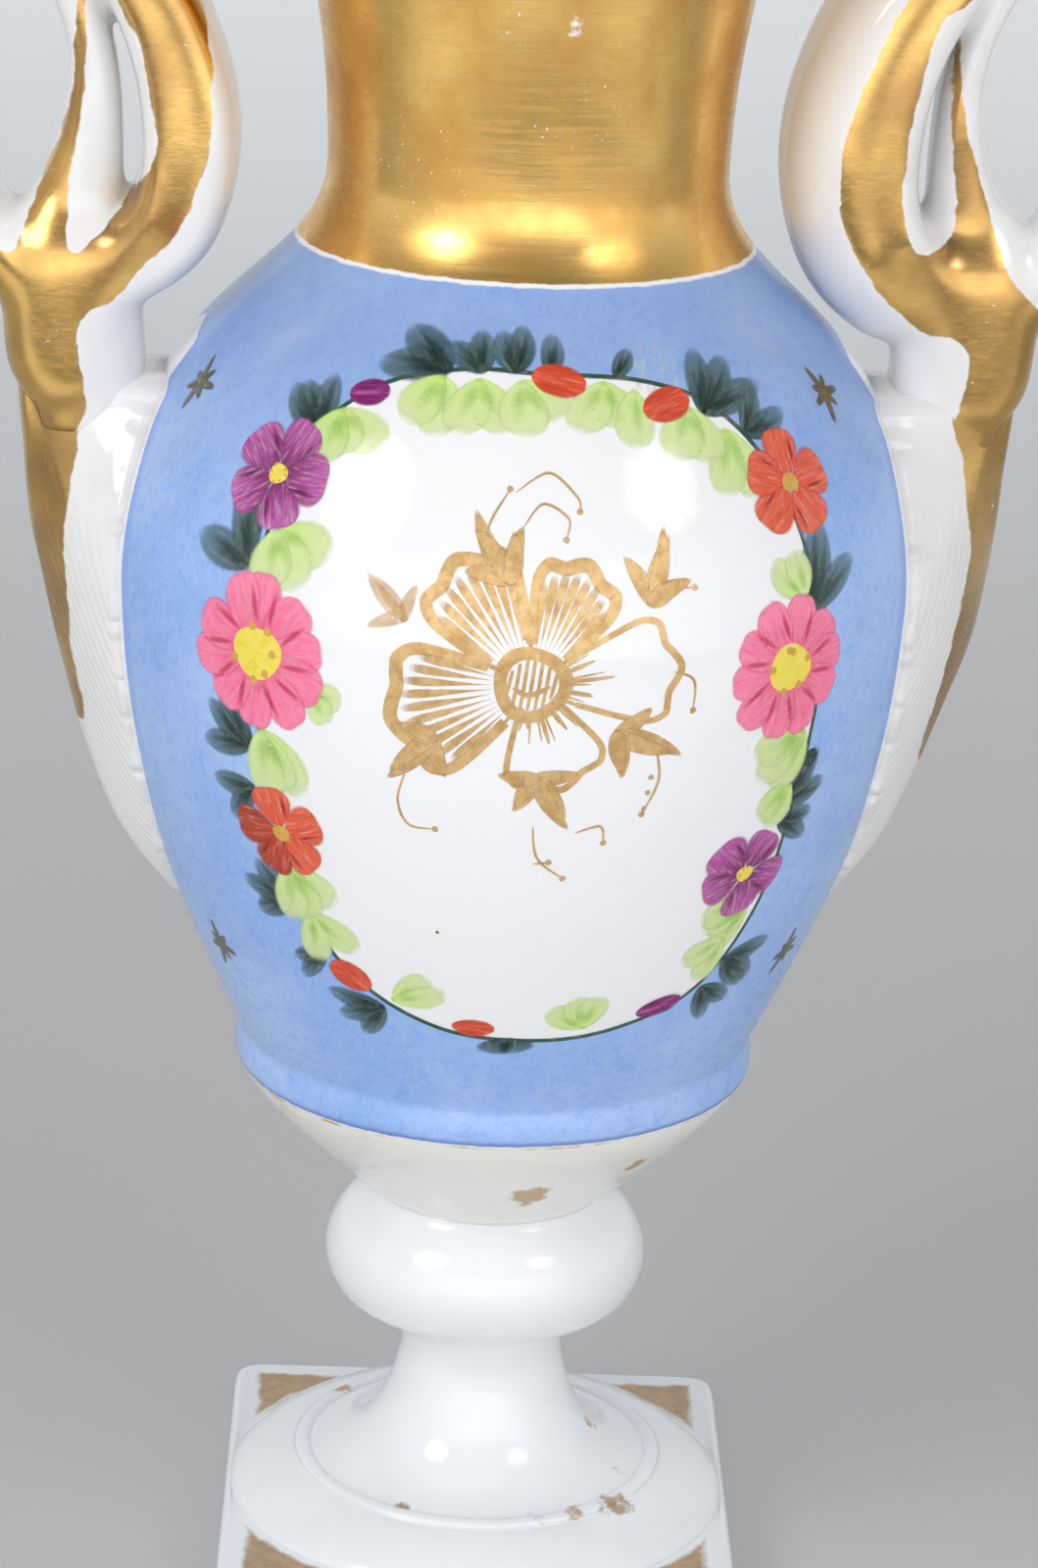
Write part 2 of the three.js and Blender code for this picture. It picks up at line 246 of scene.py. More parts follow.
glaze = dict(
    white=tint(243, 243, 245), cream=tint(241, 240, 234), creamDirt=tint(205, 188, 150),
    # the handles' white is the glaze white painted darker, as painted shade; the grey clouds laid over it are
    # dust and painted shade
    shadedHandleWhite=tint(236, 235, 234), handleDustAndShade=tint(220, 215, 204),
    footWhite=tint(241, 243, 246), footSoil=tint(222, 224, 224),
    blue=tint(146, 182, 238), paleBlue=tint(172, 200, 245), deepBlue=tint(108, 156, 240),
    # the greyer blue on the shoulder is painted shade for its upward-facing top
    shoulderShadeBlue=tint(118, 148, 204), edgeBlue=tint(84, 118, 190), scuffed=tint(196, 200, 196),
    gold=tint(246, 202, 120), darkGold=tint(218, 162, 84), redGold=tint(188, 112, 66),
    # rubbed gold is worn gilding on the bowl and foot; over the handles it is also painted shade
    rubbedAndShadedGold=tint(188, 150, 96), bareGold=tint(164, 134, 92), scratch=tint(244, 224, 180),
    roughness=0.07, blueRoughness=0.24, wornRoughness=0.42,
)


def goldFinish(s, fine):
    # brushed and worn gilding: colour and roughness wander in clouds and along fine strokes
    clouds = s.cloud(90.0, 4.0, 0.6)
    colour = s.over(glaze["gold"], (s.ramp(clouds, 0.34, 0.80, 0.0, 0.8), glaze["darkGold"]),
                    (s.ramp(fine, 0.60, 0.80, 0.0, 0.55), glaze["darkGold"]))
    rough = s.plus(s.ramp(clouds, 0.3, 0.75, 0.15, 0.28), s.ramp(fine, 0.4, 0.8, 0.0, 0.10))
    return colour, rough


def glazeSwell(s):
    # the slow swell of a fired glaze and its finer pitting
    return s.bump(s.cloud(420.0, 2.0, 0.5), 0.000012, s.bump(s.cloud(55.0, 1.0, 0.4), 0.00022))


# The body: a thrown and moulded jar with a wide belly, a narrow throat and a flared neck

body = dict(
    jointRadius=18.9, jointLevel=63.62, bulgeRadius=40.5, bulgeLevel=87.3, kinkRadius=39.8, kinkLevel=90.9,
    bellyRadius=62.9, bellyLevel=165.9, shoulderRadius=48.4, shoulderLevel=200.9,
    throatRadius=29.8, throatLevel=226.4, lipRadius=47.6, lipLevel=287.7,
    wall=3.8, floorLevel=70.4, columns=300,
    blueFrom=85.5, blueTo=214.9, goldFrom=215.5,
    # the back reserve as (half width in degrees, half height, level)
    backReserve=(34, 42, 156),
    # worn spots as (size, degrees from the front, level, stretch across, stretch up)
    scuff=(6, 21, 204, 0.95, 1.15), neckWear=(0.7, 6, 252, 0.42, 0.62),
    bowlWear=[(3.2, 9, 72.5, 0.55, 1.1), (1.6, 38, 77, 0.5, 1.3), (1.6, -118, 74, 0.4, 1.1)],
)
# the white reserve on the front, as (degrees from the front, height)
reserveOutline = [
    (-2, 205), (18, 204), (31, 199.5), (38.5, 188), (41, 166), (40.5, 145), (39.5, 125), (32, 112),
    (16, 106.3), (0, 105.2), (-15, 107), (-28, 113.5), (-35, 124), (-38, 142), (-39.3, 162), (-40, 180),
    (-38, 194), (-29, 202), (-15, 205),
]


def between(start, end, across, up):
    # the point that lies these shares of the way across and up from start to end
    return np.array(start) + (np.array(end) - start) * (across, up)


def bodyOutline():
    # cubics from one named place on the wall to the next, the last column of each its number of points
    joint, bulge, kink, belly, shoulder, throat, lip = (
        np.array([body[place + "Radius"], body[place + "Level"]])
        for place in ("joint", "bulge", "kink", "belly", "shoulder", "throat", "lip"))
    lean = np.array([-0.65, 0.76])
    return np.vstack([
        bezier(joint, between(joint, bulge, 0.4, 0.34), between(joint, bulge, 1, 0.78), bulge, 34),
        bezier(bulge, between(bulge, kink, 0, 0.5), between(bulge, kink, 1, 0.65), kink, 8),
        bezier(kink, between(kink, belly, 0.36, 0.23), between(kink, belly, 1, 0.65), belly, 60),
        bezier(belly, between(belly, shoulder, 0, 0.34), shoulder - 10 * lean, shoulder, 34),
        bezier(shoulder, shoulder + 12 * lean, between(shoulder, throat, 1, 0.57), throat, 30),
        bezier(throat, between(throat, lip, 0, 0.33), between(throat, lip, 0.29, 0.77), lip, 48),
        [lip],
    ])


outerLine = bodyOutline()
step = np.diff(outerLine, axis=0)
lineLength = np.concatenate([[0], np.cumsum(np.hypot(step[:, 0], step[:, 1]))])
tangent = np.gradient(outerLine, axis=0)
tangent /= np.linalg.norm(tangent, axis=1)[:, None]
lineNormal = np.stack([tangent[:, 1], -tangent[:, 0]], -1)


def lengthAt(level):
    return np.interp(level, outerLine[:, 1], lineLength)


def wallRadius(level):
    return np.interp(level, outerLine[:, 1], outerLine[:, 0])


def onWall(angle, along, lift):
    # a place on the outer wall: angle from the front in radians, length up the wall line, lift off the glaze
    r, z = (np.interp(along, lineLength, outerLine[:, k]) for k in (0, 1))
    nr, nz = (np.interp(along, lineLength, lineNormal[:, k]) for k in (0, 1))
    r = r + lift * nr
    return np.stack([r * np.sin(angle), -r * np.cos(angle), z + lift * nz], -1)


def revolve(name, line, columns, material):
    # every point of the line (radius, height) carried round the axis: x = r cos a, y = r sin a, poles closed
    a = np.linspace(0, 2 * np.pi, columns, endpoint=False) - np.pi / 2
    points, faces = closedTube(gridOf(line[:, :1] * np.cos(a), line[:, :1] * np.sin(a), line[:, 1:]))
    return putMesh(name, points, faces, material)


def bodyFinish():
    s, g = Shader("glazed and gilded body"), glaze
    low, high, goldFrom = body["blueFrom"], body["blueTo"], body["goldFrom"]
    height = s.times(s.split("Z"), 1 / mm)
    ragged = s.ragged(420.0, 3.0, 0.6, 1.0)
    level = s.plus(height, s.times(ragged, 0.5))
    outside = s.rest(s.read("inside"))
    blueArea = s.times(s.ramp(level, low - 0.1, low + 0.15), s.fall(level, high - 0.1, high + 0.2))
    blueArea = s.times(blueArea, s.fall(s.plus(s.read("reserve"), ragged), -0.25, 0.45))
    blueArea = s.times(s.times(blueArea, outside), s.fall(s.read("leafGap"), -0.9, -0.4))
    # the ground is dabbed on: broad clouds, dabs of a millimetre or two, and hair-fine strokes two ways,
    # greyer on the shoulder as painted shade, and darker beside the leaves and along its lower edge
    hairs = s.grain((2600, 900, 900), 2.0, 0.6, (0.5, 0.7, 0.4))
    crossHairs = s.grain((800, 800, 2600), 2.0, 0.6, (0.3, 0.2, 1.1))
    blue = s.over(g["blue"],
                  (s.ramp(s.cloud(38.0, 3.0, 0.55), 0.3, 0.7), g["paleBlue"]),
                  (s.ramp(s.cloud(520.0, 4.0, 0.68, 0.5), 0.44, 0.72, 0.0, 0.42), g["deepBlue"]),
                  (s.ramp(hairs, 0.5, 0.72, 0.0, 0.55), g["paleBlue"]),
                  (s.ramp(crossHairs, 0.55, 0.75, 0.0, 0.35), g["deepBlue"]),
                  # painted shade: the ground greys towards the top of the shoulder
                  (s.ramp(height, 176.0, 208.0, 0.0, 0.4), g["shoulderShadeBlue"]),
                  (s.ramp(s.read("leafGap"), -4.5, -0.6, 0.0, 0.75), g["deepBlue"]),
                  (s.fall(level, low + 0.2, low + 1.1, 0.7), g["edgeBlue"]))
    # the bowl below the ground is creamier, with traces of gilding and a worn gold line round its top
    cream = s.fall(level, low - 0.5, low - 0.1)
    goldLine = s.times(s.ramp(level, low - 0.75, low - 0.45), s.fall(level, low - 0.3, low - 0.1))
    goldLine = s.times(goldLine, s.ramp(s.cloud(130.0, 3.0, 0.6), 0.45, 0.6, 0.1, 0.9))
    smear = s.ramp(s.grain((55, 55, 160), 5.0, 0.62), 0.60, 0.72, 0.0, 0.35)
    white = s.over(g["white"],
                   (cream, g["cream"]),
                   (s.times(cream, smear), g["creamDirt"]),
                   (s.ramp(s.plus(s.read("bowlWear"), s.times(ragged, 5.0)), -0.4, 1.0), g["rubbedAndShadedGold"]),
                   (s.times(goldLine, outside), g["rubbedAndShadedGold"]))
    # a rubbed place above the reserve, where the ground is scuffed to grey white
    scuff = s.ramp(s.grain((1500, 500, 500), 3.0, 0.7, (0.2, 0.9, 0.2)), 0.48, 0.66, 0.0, 0.6)
    scuff = s.times(s.ramp(s.read("scuff"), 0.0, 2.5), scuff)
    # the gilded neck, brushed and scratched level, with pits and worn spots down to the china
    strokes = s.grain((60, 60, 1700), 4.0, 0.7)
    scratches = s.grain((26, 26, 5200), 2.0, 0.5, (0.02, 0.03, 0))
    gold, goldRough = goldFinish(s, strokes)
    gold = s.mix(s.ramp(scratches, 0.70, 0.76, 0.0, 0.5), gold, g["scratch"])
    pits = s.times(s.ramp(s.cloud(2300.0, 1.0, 0.5), 0.735, 0.75), s.ramp(s.cloud(60.0, 2.0, 0.5), 0.5, 0.62))
    bare = s.larger(pits, s.ramp(s.plus(s.read("neckWear"), s.times(ragged, 2.6)), -0.3, 0.3))
    goldArea = s.times(s.times(s.ramp(level, goldFrom - 0.1, goldFrom + 0.1), outside), s.rest(bare))
    colour = s.over(s.mix(blueArea, white, blue), (scuff, g["scuffed"]), (goldArea, gold))
    china = s.blend(blueArea, g["roughness"], g["blueRoughness"])
    rough = s.blend(goldArea, china, s.plus(goldRough, 0.05))
    rub = s.bump(s.times(strokes, goldArea), 0.000016, glazeSwell(s))
    return s.finish(Base_Color=colour, Metallic=goldArea, Roughness=rough, Normal=rub)


def makeBody(material):
    # the wall line, a half circle over the lip, the inner wall and the basin, all revolved
    b = body
    wall, floor = b["wall"], b["floorLevel"]
    inner = outerLine - wall * lineNormal
    inner = inner[(outerLine[:, 1] > b["kinkLevel"]) & (outerLine[:, 1] < b["lipLevel"] - 0.01)][::-3]
    a = np.linspace(0, np.pi, 13)[1:-1][:, None]
    lip = outerLine[-1] + wall / 2 * ((np.cos(a) - 1) * lineNormal[-1] + np.sin(a) * tangent[-1])
    x, y = inner[-1]
    basin = bezier((x, y), (x * 0.93, y - 12), (x * 0.55, floor), (0.3, floor), 22)[1:]
    base = [(r, b["jointLevel"]) for r in (0.3, 8.0, 16.0, 18.2)]
    line = np.vstack([base, outerLine, lip, inner, basin])
    piece = revolve("body_jar", line, b["columns"], material)
    p = pointsOf(piece)
    isInside = np.zeros(len(p))
    isInside[(len(base) + len(outerLine) + len(lip)) * b["columns"]:] = 1
    isInside[len(line) * b["columns"]] = 0
    degrees, z = np.degrees(np.arctan2(p[:, 0], -p[:, 1])), p[:, 2]
    size = np.radians(1) * 60
    front = insideDistance(degrees * size, z, throughPoints(reserveOutline, 200, closed=True) * (size, 1))
    halfWidth, halfHeight, middle = b["backReserve"]
    back = (1 - np.hypot((np.abs(degrees) - 180) / halfWidth, (z - middle) / halfHeight)) * 38

    def spot(size, turn, level, across, up):
        # its size less the stretched distance from its middle
        return size - np.hypot((degrees - turn) * across, (z - level) * up)

    for name, values in (
            ("reserve", np.maximum(front, back)), ("inside", isInside), ("leafGap", leafGap(p)),
            ("scuff", spot(*b["scuff"])), ("neckWear", np.where(z > 230, spot(*b["neckWear"]), -9)),
            ("bowlWear", np.max([spot(*worn) for worn in b["bowlWear"]], axis=0))):
        putNumbers(piece, name, values)
    return piece


# The leaf under each handle, and the handle above it, drawn for the right side; the left is mirrored

leaf = dict(
    # height above the belly's widest level, rise of the spine off the wall, half width of the spine, degrees
    # to the edge
    stations=[(28.5, 21.0, 4.2, 8.5), (27, 20.6, 5.0, 12.5), (24, 18.5, 4.6, 14), (14, 13.2, 4.3, 19.2),
              (-1, 8.2, 3.6, 23), (-16, 6.4, 2.8, 22.5), (-31, 6.2, 2.0, 19.5), (-44, 5.2, 1.3, 13),
              (-54, 1.6, 0.5, 3.5)],
    bulge={"right": 1.7, "left": 0.3}, trim={"right": 1.16, "left": 0.86}, rows=470, columns=110, hidden=8,
    ribPitch=3.6, ribDepth=0.24, ribSlant=2.0, scallopPitch=5.2, scallopDepth=0.26, edgeLift=0.8,
    # the share of the leaf's half width that the rounded spine takes up
    spineShare=0.17,
)


def leafGap(p):
    # how far a point of the wall lies inside the leaf's edge, along the wall; less than nothing outside it
    best = np.full(len(p), -50.0)
    line = throughPoints(leaf["stations"], 200)[::-1]
    for side, sign in (("right", 1), ("left", -1)):
        edge = np.interp(p[:, 2] - body["bellyLevel"], line[:, 0], line[:, 3], left=-20, right=9)
        edge = np.where(p[:, 1] < 0, edge * leaf["trim"][side], edge)
        fromPlane = np.degrees(np.arctan2(np.abs(p[:, 1]), p[:, 0] * sign))
        gap = np.radians(edge - fromPlane) * np.hypot(p[:, 0], p[:, 1])
        gap = np.where(p[:, 2] > body["bellyLevel"] + 34, gap - 3 * (p[:, 2] - body["bellyLevel"] - 34), gap)
        best = np.maximum(best, gap)
    return best


def makeLeaf(side, material):
    # rows go down the leaf; columns go from the front edge over the spine to the back edge, then hidden in
    # the wall. A point is the wall's radius plus a height that falls from the spine to the edge,
    # h = rise (1 - t)^1.05, with ribs as a rounded wave along a slanted line and scallops as a wave along
    # the edge
    q = leaf
    path = throughPoints(q["stations"], q["rows"])
    up, rise, half, edge = (path[:, k][:, None] for k in range(4))
    rise = rise + q["bulge"][side] * np.exp(-((up + 10) / 13) ** 2)
    level = up + body["bellyLevel"]
    radius = wallRadius(level)
    t = np.linspace(-1, 1, q["columns"])[None, :]
    t = np.sign(t) * np.abs(t) ** 0.9
    far, share = np.abs(t), q["spineShare"]
    wave = np.abs(np.sin(np.pi * (level + 1.1 * np.sin(level * 0.83)) / q["scallopPitch"]))
    wave = wave * (0.55 + 0.45 * np.sin(level * 0.47 + 1.0))
    nick = 0.05 * (1 - wave) * np.minimum(1, edge / 14) * np.exp(-((1 - far) / 0.10) ** 2)
    reach = edge * np.where(t < 0, q["trim"][side], 1.0) * (1 - nick)
    spine = np.degrees(half / (radius + rise))
    out = np.clip((far - share) / (1 - share), 0, 1)
    onFlank = np.sign(t) * (spine + (reach - spine) * out)
    angle = np.radians(np.where(far < share, spine * t / share, onFlank))
    dome = np.sqrt(np.clip(1 - np.clip(far / share, 0, 1) ** 2 * 0.5, 0, 1)) - math.sqrt(0.5)
    lift = q["edgeLift"] * np.minimum(1, rise / 3)
    flank = (rise - lift) * (1 - out) ** 1.05 + lift
    fade = np.clip(out * 7, 0, 1) * np.clip((1 - out) * 12, 0, 1) * np.clip((22 - up) / 34, 0.12, 1)
    across = out * (reach - spine) * np.radians(1) * radius
    slanted = (level + q["ribSlant"] * across) / q["ribPitch"]
    ribs = q["ribDepth"] * (np.abs(np.sin(np.pi * slanted)) ** 0.8 - 0.5) * fade * np.minimum(1, edge / 8)
    bead = q["scallopDepth"] * wave * np.exp(-((out - 0.955) / 0.03) ** 2) * np.minimum(1, edge / 10)
    height = np.where(far < share, rise + dome * half * 0.55, flank) + ribs + bead
    # the last step of each edge goes half a millimetre into the wall, and the hidden columns lie deeper
    r = radius + np.where(out > 0.985, -0.5, height)
    outer = gridOf(r * np.cos(angle), r * np.sin(angle), level)
    k = np.linspace(1, 0, q["hidden"] + 2)[None, 1:-1]
    under = angle[:, :1] + (angle[:, -1:] - angle[:, :1]) * k
    deep = radius - 1.6
    grid = np.concatenate([outer, gridOf(deep * np.cos(under), deep * np.sin(under), level)], 1)[::-1]
    grid[0] = grid[0].mean(0) * 0.6 + grid[0] * 0.4
    points, faces = onSide(side, *closedTube(grid))
    piece = putMesh("leaf_" + side, points, faces, material)
    putGilding(piece, side, 0.0)
    return piece


handle = dict(
    # stations are out from the belly's widest radius, up from its level, and half width in the handle's plane
    band=[(4, 41, 6.2), (-4.8, 45.2, 7), (-10.6, 50.6, 7.4), (-13.2, 58.4, 7.7), (-13.4, 67, 7.9),
          (-11.5, 76, 7.5), (-7.6, 85, 6.9), (-2, 92.5, 6), (5.5, 98.5, 5)],
    tine=[(5.8, 40, 7.0), (4.0, 48.5, 6.5), (2.0, 57, 5.3), (0.8, 65, 3.9), (0.7, 73, 3.1), (2, 80, 2.7),
          (4.6, 87, 2.8), (8.5, 95, 3.2)],
    hoop=[(9, 40, 5.4), (15, 47, 5), (19.3, 55.5, 4.6), (21.2, 65, 4.4), (21.1, 75, 4.2), (19, 84.5, 4.1),
          (14.8, 92.5, 4.2), (9, 98.5, 4.5), (1, 103.5, 4.8), (-9, 108, 5), (-21.2, 109, 5),
          (-33.2, 108.5, 5)],
    cup=[(3.8, 25.6, 7.0), (4.2, 27.2, 7.8), (4.5, 30, 9.4), (4.5, 37, 10), (4.5, 44, 10), (4.4, 50, 8.8),
         (4.2, 56, 5.8)],
    strut=[(1.2, 20, 8), (1.6, 28, 8.6), (2.2, 36, 8.6), (3, 43, 7)],
    voxel=0.46, fillet=0.25,
    # what the band's throat side gives up at its face, how far it swells towards the neck between its faces,
    # and how much wider the tine is on its outer side
    right=dict(faceTrim=2.3, swell=4.4, tineOut=0.0), left=dict(faceTrim=2.8, swell=-0.9, tineOut=1.3),
)
# gilding in the handle's plane, as (distance from the axis, height); both spines start alike and end alike
spineTop = [(82, 193), (82, 184), (82, 170), (80, 156)]
spineInner = [(67.5, 170), (67, 177), (65.8, 185), (65.3, 193)]
gilding = {
    "left": dict(
        band=[(63, 262), (55, 262), (49, 254), (47.2, 245), (46.4, 238), (46.9, 229), (48.7, 223),
              (51.8, 216), (56, 212), (60, 206.5), (65.4, 202.5), (65.6, 190), (80, 190), (80, 213),
              (76, 213.5), (74, 218), (71.6, 225), (69.2, 231), (67.6, 238), (67.2, 250), (65.0, 250),
              (64.8, 240), (65.6, 231), (66.8, 224), (67.2, 214.5), (64.5, 215.5), (59.7, 221),
              (55.6, 229), (56.7, 237.7), (58, 244.7), (61, 250)],
        spine=spineTop + [(74, 144), (67, 140), (64.4, 141), (65.5, 148), (66.5, 154), (66.8, 160)]
        + spineInner),
    "right": dict(
        band=[(66, 262), (58, 262), (51.8, 253.6), (49.3, 248), (46.5, 240.6), (44.7, 235), (44.2, 227.5),
              (44.7, 222), (47, 216.6), (51.7, 210), (58, 204.6), (65.2, 201.5), (65.6, 190), (80, 190),
              (80, 206), (76, 209), (71.6, 214), (69.8, 219), (68.2, 224), (65.6, 231), (63.4, 239),
              (62.9, 248), (61.6, 248), (60.9, 240), (61.2, 233), (62.4, 225), (61.6, 218.5), (57, 217.6),
              (54.8, 223), (54.7, 232), (55.6, 239), (57, 246), (58.8, 251), (62.6, 254)],
        spine=spineTop + [(75, 143), (67, 136), (62.6, 138), (64.0, 150), (65.6, 160)] + spineInner),
}


def strap(stations, halfDepth, square=3.0, hollow=0.0, faceTrim=0.0, swell=0.0, thinStart=0.0, thinEnd=0.0):
    # a section carried along the path: the section is |u|^p + |v|^p = 1, its faces hollowed in the middle,
    # its throat side trimmed at the faces and swelled between them by swell (1 - v^2), and its ends thinner
    count, around = 110, 44
    path = throughPoints(stations, count)
    x, z, half = path[:, :1] + body["bellyRadius"], path[:, 1:2] + body["bellyLevel"], path[:, 2:3]
    along = np.gradient(path[:, :2], axis=0)
    along /= np.linalg.norm(along, axis=1)[:, None]
    nx, nz = along[:, 1:2], -along[:, :1]
    a = np.linspace(0, 2 * np.pi, around, endpoint=False)[None, :]
    u, v = (np.sign(w) * np.abs(w) ** (2 / square) for w in (np.cos(a), np.sin(a)))
    ease = np.clip(np.arange(count) / 14, 0, 1)[:, None]
    wide = half * u + ease * np.clip(-u, 0, 1) * (faceTrim - (faceTrim + swell) * (1 - v ** 2) ** 0.7)
    s = np.clip(np.arange(count) / 30, 0, 1)[:, None]
    end = 1 - s * s * (3 - 2 * s)
    deep = (halfDepth - thinStart * end - thinEnd * end[::-1]) * v
    deep = deep * (1 - hollow * np.clip(1 - u ** 2, 0, 1) ** 2)
    return closedTube(gridOf(x + nx * wide, deep, z + nz * wide))


def eased(piece, p, weight, rounds):
    # every round, each point goes its weight of the way to the middle of its neighbours
    ends = np.empty(len(piece.data.edges) * 2, np.int32)
    piece.data.edges.foreach_get("vertices", ends)
    a, b = ends.reshape(-1, 2).T
    n = len(p)
    many = (np.bincount(a, minlength=n) + np.bincount(b, minlength=n))[:, None]
    for _ in range(rounds):
        near = np.stack([np.bincount(a, p[b, k], n) + np.bincount(b, p[a, k], n) for k in range(3)], -1)
        p = p + weight[:, None] * (near / many - p)
    return p


def makeHandle(side, material):
    h, own = handle, handle[side]
    straps = [
        strap(h["band"], 15.0, 4.0, 0.07, own["faceTrim"], own["swell"], 3.4),
        strap(np.array(h["tine"]) + own["tineOut"] * np.array([0.5, 0, 0.5]), 8.0, 2.6),
        strap(h["hoop"], 9.0, 2.6),
        strap(h["cup"], 11.3, 2.7, thinEnd=4.2),
        strap(h["strut"], 10.0),
    ]
    faces, count = [], 0
    for p, f in straps:
        faces += [[i + count for i in face] for face in f]
        count += len(p)
    points, faces = onSide(side, np.vstack([p for p, f in straps]), faces)
    piece = putMesh("handle_" + side, points, faces, material)
    # the straps are grown, melted into one skin and shrunk back, which leaves a fillet in every inner corner
    fillet = h["fillet"] * mm
    for kind, values in (
            ("DISPLACE", dict(mid_level=0.0, strength=fillet)),
            ("REMESH", dict(mode="VOXEL", voxel_size=h["voxel"] * mm, use_smooth_shade=True)),
            ("SMOOTH", dict(factor=0.5, iterations=8)),
            ("DISPLACE", dict(mid_level=0.0, strength=-fillet)),
            ("SMOOTH", dict(factor=0.5, iterations=24))):
        made = piece.modifiers.new(kind.lower(), kind)
        for key, value in values.items():
            setattr(made, key, value)
    mesh = bpy.data.meshes.new_from_object(piece.evaluated_get(bpy.context.evaluated_depsgraph_get()))
    piece.modifiers.clear()
    piece.data = mesh
    smoothed(mesh)
    # what the straps bury in the jar's wall is drawn back to just inside the wall
    p = pointsOf(piece)
    nearCup = 1.7 - np.hypot((np.abs(p[:, 0]) - 67) / 10, (p[:, 2] - 208) / 15)
    p = eased(piece, p, 0.5 * np.clip(nearCup, 0, 1), 110)
    r = np.hypot(p[:, 0], p[:, 1])
    least = wallRadius(p[:, 2]) - 2.4
    p[:, :2] *= np.where(r < least, least / np.maximum(r, 1e-6), 1.0)[:, None]
    mesh.vertices.foreach_set("co", (p * mm).astype(np.float32).ravel())
    if not mesh.materials:
        mesh.materials.append(material)
    putGilding(piece, side, 0.4)
    return piece


def putGilding(piece, side, narrowed):
    # how far each point lies inside the gilded outlines, and how near it is to the redder gold of the cup
    p = pointsOf(piece)
    lines = [throughPoints(outline, 240, closed=True) for outline in gilding[side].values()]
    marks = [insideDistance(np.abs(p[:, 0]), p[:, 2], line) for line in lines]
    putNumbers(piece, "gilt", np.maximum(*marks) - narrowed)
    putNumbers(piece, "red", 5 - np.hypot(p[:, 0] + 52, (p[:, 2] - 219) * 1.3))


def handleFinish():
    s, g = Shader("glazed and gilded handle"), glaze
    gilt = s.plus(s.read("gilt"), s.ragged(260.0, 4.0, 0.6, 1.5))
    strokes = s.grain((500, 500, 1900), 4.0, 0.7, (0.2, 0.5, 0.0))
    gold, goldRough = goldFinish(s, strokes)
    red = s.times(s.ramp(s.read("red"), 0.0, 4.0), s.ramp(strokes, 0.4, 0.62, 0.0, 0.8))
    # the handles' gilding is darkened all over with clouds of rubbed gold, never less than 0.3: partly wear,
    # partly painted shade
    gold = s.over(gold, (s.ramp(s.cloud(45.0, 3.0, 0.6), 0.35, 0.65, 0.3, 0.85), g["rubbedAndShadedGold"]),
                  (red, g["redGold"]))
    rubbed = s.ramp(s.grain((260, 260, 700), 4.0, 0.7), 0.69, 0.73)
    area = s.times(s.ramp(gilt, 0.0, 0.35), s.rest(rubbed))
    # grey clouds over the handles' white: dust and painted shade
    dustAndShade = s.ramp(s.cloud(60.0, 4.0, 0.6), 0.5, 0.75, 0.0, 0.28)
    # the handles start from a darker copy of the glaze white, which is painted shade
    colour = s.over(g["shadedHandleWhite"], (dustAndShade, g["handleDustAndShade"]), (area, gold))
    rub = s.bump(s.times(strokes, area), 0.000006, glazeSwell(s))
    rough = s.blend(area, g["roughness"], goldRough)
    return s.finish(Base_Color=colour, Metallic=area, Roughness=rough, Normal=rub)


# The foot: a turned knop and stem on a low dome, on a square plinth

foot = dict(
    plinth=81.0, plinthHeight=11.0, edge=1.3, domeRadius=40.0, domeTop=17.0, beadRadius=28.2, bead=1.25,
    stemTop=43.0, stemRadius=12.8, jointRadius=18.6, top=63.6, turn=-3.0, columns=264,
    hollow=36.4, hollowHeight=6.8, boreRadius=24.0, boreTop=10.0, spandrelRadius=41.0, spandrelEdge=5.2,
    # where gilding was rubbed away and left traces, as (x, y, height, size) in the foot's own square
    traces=[(22, -20, 17, 3.4), (15, -24, 17, 2.6), (23, -10, 19, 2.4), (20, -2, 23, 3.0),
            (9, -27, 16.6, 2.2), (-12, -24, 17, 2.0), (39, -26, 8, 2.8), (37, -22, 13, 1.8),
            (30, -30, 12, 2.2), (36, -40, 5, 3.6), (-30, -40, 2, 4.0), (-37, 28, 12, 2.0),
            (-22, 18, 18, 3.0), (-5, 27, 17, 3.0), (28, 22, 15, 2.4)],
)


def footOutline():
    # from the plinth up: the dome, its bead, the trumpet stem, and the knop up to the joint
    f = foot
    dome, base, top, bead, swell = f["domeRadius"], f["plinthHeight"], f["domeTop"], f["beadRadius"], f["bead"]
    stem, neck, joint = f["stemRadius"], f["stemTop"], (f["jointRadius"], f["top"])
    a = np.linspace(-0.35, np.pi * 0.93, 14)[:, None]
    waist, lip = (stem, neck - 8.0), (stem + 2.0, neck + 0.2)
    wide, shoulder = (24.0, neck + 3.9), (22.6, neck + 16.2)
    return np.vstack([
        bezier((dome, base + 0.2), (dome - 0.8, base + 2.6), (bead + 5.0, top - 0.6),
               (bead + swell + 0.3, top - 0.4), 22),
        np.array([[bead, top - 0.1]]) + swell * np.hstack([np.cos(a), np.sin(a) * 0.46]),
        bezier((bead - swell - 0.2, top + 0.2), (bead - 9.5, top + 1.4), (stem + 1.4, top + 8.5), waist, 40),
        bezier(waist, (stem - 0.15, neck - 4.0), (stem + 0.1, neck - 0.6), lip, 14),
        bezier(lip, (stem + 5.0, neck + 0.6), (22.2, neck + 0.7), wide, 20),
        bezier(wide, (26.4, neck + 8.2), (25.6, neck + 12.4), shoulder, 30),
        bezier(shoulder, (21.2, neck + 17.9), (19.4, neck + 18.4), joint, 14),
        [joint],
    ])


